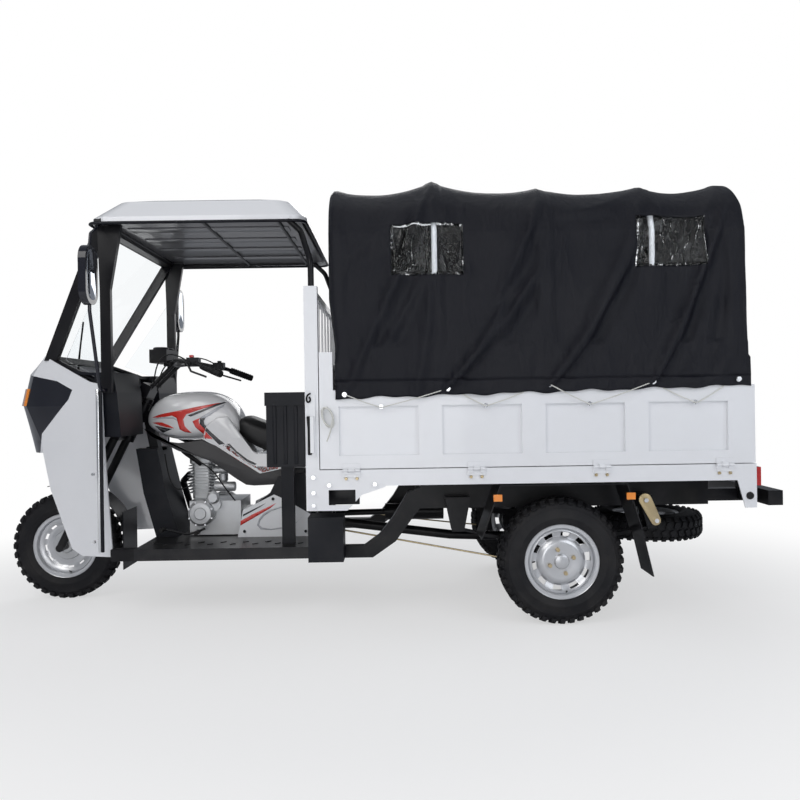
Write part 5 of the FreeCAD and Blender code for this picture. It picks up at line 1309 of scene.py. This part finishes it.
def buildEngine(sizes):
    mid = sizes["centreX"]
    core = prismPiece("cylinderCore", roundedRing(mid, 0, 0.050, 0.042, 0.020), 0.516, 0.712, "castMetal", "chassis",
                      "cast_aluminium", "XY", 0.004)
    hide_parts("engine_cylinder")
    for i in range(sizes["fins"]):
        share = i / (sizes["fins"] - 1)
        z = sizes["finLow"] + (sizes["finHigh"] - sizes["finLow"]) * share
        wide = 0.066 + 0.008 * math.sin(math.pi * share)
        ring = roundedRing(mid, 0, wide, wide * 0.84, 0.022)
        prismPiece(f"coolingFin_{i}", ring, z, z + sizes["finWall"], "castMetal", "chassis", "cast_aluminium", "XY",
                   0.001)
    prismPiece("rockerCover", roundedRing(mid, 0, 0.062, 0.050, 0.022), 0.700, 0.742, "castMetal", "chassis",
               "cast_aluminium", "XY", 0.008)
    corners = [((mid + sx * 0.046, sy * 0.036, 0.742), upward, rearward) for sx in (-1, 1) for sy in (-1, 1)]
    fittings("rockerBolts", boltTree, corners, {"Width": 0.006, "Length": 0.0052, "Height": 0.007, "Sides": 6},
             "chrome", "chassis")
    for side, face in ((-1, sizes["left"]), (1, sizes["right"])):
        x, z, radius = sizes["stator"]
        steps = [(0.0, 0.018), (radius * 0.42, 0.018), (radius * 0.48, 0.014), (radius * 0.80, 0.012),
                 (radius * 0.90, 0.006), (radius, 0.0), (radius, -0.012), (0.0, -0.012)]
        grow = 1.0 if side < 0 else 1.22
        lathe(f"caseCover_{'left' if side < 0 else 'right'}", [(r * grow, side * y) for r, y in steps],
              (x if side < 0 else x + 0.06, face, z), "castMetal", "chassis", "cast_aluminium", 48)
        ring = []
        for i in range(8):
            angle = math.tau * (i + 0.5) / 8
            out = Vector((math.cos(angle), 0, math.sin(angle)))
            centre = Vector((x if side < 0 else x + 0.06, face + side * 0.006, z))
            ring.append((centre + out * radius * grow * 0.93, Vector((0, side, 0)), out))
        fittings(f"caseBolts_{side + 1}", boltTree, ring, {"Width": 0.0055, "Length": 0.0048, "Height": 0.008,
                 "Sides": 6}, "chrome", "chassis")
    x, z, radius = sizes["filler"]
    lathe("clutchAdjustCover", [(0, -0.014), (radius * 0.7, -0.014), (radius, -0.006), (radius, 0.010), (0, 0.010)],
          (x, sizes["left"], z), "castMetal", "chassis", "cast_aluminium", 40)
    motor = [(0, -0.055), (0.022, -0.055), (0.025, -0.050), (0.025, 0.050), (0.022, 0.055), (0, 0.055)]
    lathe("starterMotor", motor, (-0.770, -0.085, 0.585), "castMetal", "chassis", "cast_aluminium", 32, "X")
    lathe("carburettor", [(0, -0.055), (0.024, -0.055), (0.026, -0.048), (0.019, -0.030), (0.019, 0.028),
          (0.026, 0.044), (0.026, 0.055), (0, 0.055)], (-0.790, -0.030, 0.668), "castMetal", "chassis",
          "cast_aluminium", 32, "X")
    lathe("floatBowl", [(0, -0.052), (0.018, -0.052), (0.024, -0.044), (0.024, -0.008), (0, -0.008)],
          (-0.790, -0.030, 0.655), "castMetal", "chassis", "cast_aluminium", 32, "Z")
    tubePiece("engineHoses", [
        [(-0.735, -0.030, 0.668), (-0.700, -0.020, 0.664), (-0.660, 0.0, 0.680)],
        [(-0.905, -0.050, 0.700), (-0.935, -0.085, 0.735), (-0.985, -0.090, 0.770), (-1.020, -0.05, 0.800)],
    ], 0.011, "softRubber", "chassis", "black_plastic")
    tubePiece("engineCables", [
        [(-0.790, -0.050, 0.700), (-0.830, -0.100, 0.760), (-0.930, -0.130, 0.780), (-1.060, -0.120, 0.810)],
        [(-0.700, -0.165, 0.520), (-0.760, -0.170, 0.600), (-0.830, -0.150, 0.700), (-0.960, -0.135, 0.760)],
        [(-0.940, -0.100, 0.600), (-1.000, -0.110, 0.560), (-1.060, -0.100, 0.620), (-1.080, -0.090, 0.760)],
    ], 0.0035, "softRubber", "chassis", "black_plastic")
    tubePiece("gearPedal", [[(-1.055, -0.205, 0.388), (-0.990, -0.200, 0.372), (-0.920, -0.190, 0.352),
                             (-0.850, -0.188, 0.385)]], 0.006, "blackPaint", "chassis", "black_paint")
    for x in (-1.055, -0.880):
        lathe(f"pedalRubber_{round(-x * 1000)}", [(0, -0.028), (0.010, -0.028), (0.011, -0.024), (0.011, 0.024),
              (0.010, 0.028), (0, 0.028)], (x, -0.228, 0.388 if x < -1 else 0.372), "softRubber", "chassis",
              "black_plastic", 20)
    slant = Vector((1, 0.9, 0)).normalized()
    ridges = [((-1.06 + 0.055 * i, side * (0.30 + 0.05 * (i % 2)), 0.3365), upward, slant)
              for i in range(14) for side in (-1, 1)]
    fittings("footRidges", lugTree, ridges, {"Width": 0.030, "Length": 0.007, "Height": 0.003}, "treadPlate",
             "chassis")


buildEngine(engineFacts)
print("engine made")


def headSpan(node, side, lowZ, highZ):
    # box round the part of a node on one side between two heights
    spots = [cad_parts[node].matrix_world @ v.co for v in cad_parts[node].data.vertices]
    spots = [p for p in spots if lowZ < p.z < highZ and p.y * side > 0]
    return [Vector(tuple(pick(p[i] for p in spots) for i in range(3))) for pick in (min, max)]


def buildControls():
    for side, label in ((-1, "left"), (1, "right")):
        low, high = headSpan("mirrors", side, 1.50, 1.70)
        middle, half = (low + high) / 2, (high - low) / 2
        ring = [(middle.y + (half.y - 0.016) * math.copysign(abs(math.cos(a)) ** 0.7, math.cos(a)),
                 1.600 + 0.112 * math.copysign(abs(math.sin(a)) ** 0.7, math.sin(a)))
                for a in [math.tau * i / 40 for i in range(40)]]
        prismPiece(f"mirrorFace_{label}", ring, high.x - 0.001, high.x + 0.0012, "mirrorFace", "chassis",
                   "mirror_black", "YZ", 0.0004)
        grip = [(-0.820, side * 0.312, 1.2065), (-0.768, side * 0.347, 1.185), (-0.712, side * 0.382, 1.1620)]
        tubePiece(f"grip_{label}", [grip], 0.0175, "softRubber", "steering", "black_plastic", True, 5)
        ribs = []
        for i in range(9):
            place = Vector(grip[0]).lerp(Vector(grip[2]), 0.12 + 0.095 * i)
            ahead = (Vector(grip[2]) - Vector(grip[0])).normalized()
            ribs.append([place - ahead * 0.0016, place + ahead * 0.0016])
        tubePiece(f"gripRibs_{label}", ribs, 0.0190, "softRubber", "steering", "black_plastic", False, 5)
        boxPiece(f"switch_{label}", (-0.888, side * 0.285 - 0.010, 1.250), (-0.868, side * 0.285 + 0.010, 1.262),
                 "redLens" if side < 0 else "softRubber", "steering", "black_plastic", 0.002)
        rim = [(0.0, 0.012), (0.036, 0.012), (0.040, 0.008), (0.040, -0.006), (0.0, -0.006)]
        lathe(f"gaugeRim_{label}", rim, (-1.105, side * 0.048, 1.306), "blackPlastic", "steering", "black_paint", 40,
              "Z")
        lathe(f"gaugeFace_{label}", [(0.0, 0.0135), (0.033, 0.0135), (0.033, 0.0125), (0.0, 0.0125)],
              (-1.105, side * 0.048, 1.306), "stripeGrey", "steering", "black_paint", 40, "Z")
    tubePiece("wiper", [[(-1.567, 0.0, 1.160), (-1.532, -0.060, 1.250), (-1.498, -0.120, 1.320)],
                        [(-1.560, -0.020, 1.190), (-1.498, -0.120, 1.320), (-1.440, -0.215, 1.440)]],
              0.0045, "blackPlastic", "chassis", "black_plastic")


cables = {
    "diameter": 0.007,
    "routes": (
        [(-0.880, -0.300, 1.222), (-0.960, -0.270, 1.275), (-1.060, -0.190, 1.262), (-1.120, -0.110, 1.190),
         (-1.140, -0.070, 1.110)],
        [(-0.880, 0.300, 1.222), (-0.950, 0.280, 1.285), (-1.070, 0.200, 1.268), (-1.130, 0.120, 1.190),
         (-1.150, 0.070, 1.110)],
        [(-0.880, -0.290, 1.216), (-0.970, -0.240, 1.240), (-1.050, -0.150, 1.225), (-1.110, -0.070, 1.160),
         (-1.130, -0.040, 1.090)],
    ),
}


def buildCables(sizes):
    for i, route in enumerate(sizes["routes"]):
        path = curvePath(route)
        cable = tubePiece(f"controlCable_{i}", [route], sizes["diameter"] / 2, "softRubber", "steering",
                          "black_plastic")


buildControls()
buildCables(cables)
print("controls made")

cabTrim = {"linerLow": 1.866, "front": -1.262, "rear": -0.272, "half": 0.580, "edge": 1.850, "trimRadius": 0.007}


def buildCabTrim(sizes):
    boxPiece("roofLiner", (sizes["front"] + 0.030, 0.035 - sizes["half"], sizes["linerLow"]),
             (sizes["rear"] - 0.030, sizes["half"] - 0.035, sizes["linerLow"] + 0.004), "linerGrey", "chassis",
             "black_plastic", 0.001)
    front, rear, half, edge = sizes["front"], sizes["rear"], sizes["half"], sizes["edge"]
    corner = 0.045
    ring = [(x, y, edge) for x, y in roundedRing((front + rear) / 2, 0, (rear - front) / 2, half, corner, 6)]
    tubePiece("roofTrim", [ring + ring[:1]], sizes["trimRadius"], "blackPlastic", "chassis", "black_plastic", False)
    for side, label in ((-1, "left"), (1, "right")):
        for shift, paint in ((0.0, "blackPlastic"), (-0.014, "chrome")):
            strip = [(-1.252 + shift, 1.098), (-1.238 + shift, 1.098), (-1.238 + shift, 0.335),
                     (-1.252 + shift, 0.335)]
            prismPiece(f"fairingTrim_{label}_{paint}", strip, side * 0.494, side * 0.506, paint, "chassis",
                       "black_plastic", "XZ", 0.003)
        spots = [((-1.285, side * 0.500, z), Vector((0, side, 0)), rearward) for z in (0.385, 0.70)]
        fittings(f"fairingBolts_{label}", boltTree, spots, {"Width": 0.009, "Length": 0.006, "Height": 0.010,
                 "Sides": 18}, "chrome", "chassis")
        spots = [((x, side * 0.700, z), Vector((0, side, 0)), rearward)
                 for x, z in ((-0.236, 0.691), (-0.236, 0.623), (-0.236, 0.568), (-0.167, 0.656), (0.033, 0.658))]
        fittings(f"bedBolts_{label}", boltTree, spots, {"Width": 0.010, "Length": 0.0095, "Height": 0.014,
                 "Sides": 6}, "chrome", "chassis")
        spots = []
        for x in (-0.069, 0.480, 1.031, 1.574):
            spots += [((x + shift, side * 0.702, 0.683), Vector((0, side, 0)), rearward)
                      for shift in (-0.024, 0.024)]
        fittings(f"hingeBolts_{label}", boltTree, spots, {"Width": 0.008, "Length": 0.006, "Height": 0.008,
                 "Sides": 6}, "goldZinc", "chassis")
        spots = [((x, side * 0.176, z), Vector((0, side, 0)), rearward)
                 for x, z in ((-0.653, 0.364), (-0.340, 0.360), (-0.505, 0.528))]
        fittings(f"panelBolts_{label}", boltTree, spots, {"Width": 0.008, "Length": 0.005, "Height": 0.006,
                 "Sides": 18}, "blackPlastic", "chassis")
        tubePiece(f"brakeRod_{label}", [[(-0.134, side * 0.320, 0.389), (0.200, side * 0.340, 0.330),
                                         (0.599, side * 0.440, 0.273)]], 0.0042, "goldZinc", "chassis",
                  "black_paint")
        plate = []
        for x, z, radius, start in ((1.290, 0.540, 0.031, 20), (1.338, 0.444, 0.024, 200)):
            for i in range(9):
                angle = math.radians(start + 175 * i / 8)
                plate.append((x + radius * math.cos(angle), z + radius * math.sin(angle)))
        prismPiece(f"shacklePlate_{label}", plate, side * 0.497, side * 0.503, "goldZinc", "chassis", "black_paint",
                   "XZ", 0.001)
        spots = [((x, side * 0.506, z), Vector((0, side, 0)), rearward)
                 for x, z in ((1.290, 0.540), (1.338, 0.444))]
        fittings(f"shackleBolts_{label}", boltTree, spots, {"Width": 0.012, "Length": 0.011, "Height": 0.012,
                 "Sides": 6}, "chrome", "chassis")
        fittings(f"legPlug_{label}", boltTree, [((1.685, side * 0.701, 0.581), Vector((0, side, 0)), rearward)],
                 {"Width": 0.017, "Length": 0.014, "Height": 0.008, "Sides": 24}, "softRubber", "chassis")
        # a black plate behind the bed bracket, put where the underbody lies in shade: painted shade
        boxPiece(f"paintedShadePlate_{label}", (-0.180, side * 0.600 - 0.006, 0.556), (-0.040, side * 0.600 + 0.006,
                 0.645), "blackPaint", "chassis", "black_paint", 0.002)
        for x in (-0.452, -0.401, -0.350):
            boxPiece(f"boxRib_{label}_{round(-x * 1000)}", (x - 0.009, side * 0.411 - 0.003, 0.725),
                     (x + 0.009, side * 0.411 + 0.003, 1.015), "blackPlastic", "chassis", "black_plastic", 0.0025)
        latch = [(-0.249, 1.045), (-0.240, 1.030), (-0.256, 1.018), (-0.262, 1.035), (-0.256, 1.055),
                 (-0.242, 1.060)]
        tubePiece(f"postHook_{label}", [[(x, side * 0.712, z) for x, z in latch]], 0.004, "softRubber", "chassis",
                  "white_paint")
        prismPiece(f"postLatch_{label}", [(-0.262, 0.960), (-0.236, 0.960), (-0.240, 0.905), (-0.240, 0.790),
                   (-0.258, 0.790), (-0.258, 0.905)], side * 0.701, side * 0.716, "softRubber", "chassis",
                   "white_paint", "XZ", 0.004)
    for y in (-0.36, -0.12, 0.12, 0.36):
        boxPiece(f"linerRib_{round(y * 100 + 50)}", (front + 0.12, y - 0.045, sizes["linerLow"] - 0.005),
                 (rear - 0.10, y + 0.045, sizes["linerLow"] + 0.001), "linerGrey", "chassis", "black_plastic", 0.004)


ropeBunch = {"centre": (-0.168, -0.7085, 0.955), "diameter": 0.006, "reach": (0.030, 0.052), "turns": 5}


def buildRopeBunch(sizes):
    # the spare end of the lacing, wound up and hung on the stile
    x, y, z = sizes["centre"]
    route = []
    random.seed(11)
    for i in range(sizes["turns"] * 10 + 1):
        angle = math.tau * i / 10
        wide, tall = (reach * random.uniform(0.72, 1.0) for reach in sizes["reach"])
        depth = y - 0.004 * (i % 3) - 0.0004 * i
        route.append((x + wide * math.cos(angle + 0.4), depth, z + tall * math.sin(angle)))
    route += [(x + 0.012, y - 0.030, z - 0.070), (x - 0.004, y - 0.026, z - 0.105)]
    path = curvePath(route)
    bunch = tubePiece("ropeBunch", [route], sizes["diameter"] / 2, "ropeWhite", "drop_side_left", "canvas")


def splitLamps():
    # one lens colour for each lamp, by where it stands
    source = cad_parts["lamps"]
    groups = {"clearLens": [], "amberLens": [], "redLens": []}
    for face in source.data.polygons:
        spot = source.matrix_world @ face.center
        if spot.x < -1.2 and abs(spot.y) < 0.16:
            kind = "clearLens"
        elif spot.x > 1.45 and abs(spot.y) < 0.66:
            kind = "redLens"
        else:
            kind = "amberLens"
        groups[kind].append(face)
    for kind, faces in groups.items():
        if not faces:
            continue
        used = sorted({v for face in faces for v in face.vertices})
        place = {v: i for i, v in enumerate(used)}
        mesh = bpy.data.meshes.new(kind)
        mesh.from_pydata([source.matrix_world @ source.data.vertices[v].co for v in used], [],
                         [[place[v] for v in face.vertices] for face in faces])
        thing = seatPiece(f"lamp_{kind}", mesh, kind, "chassis", "lens", True, 30)
        if kind == "amberLens":
            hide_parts("lamps")


buildCabTrim(cabTrim)
buildRopeBunch(ropeBunch)
splitLamps()
print("trim and lamps made")
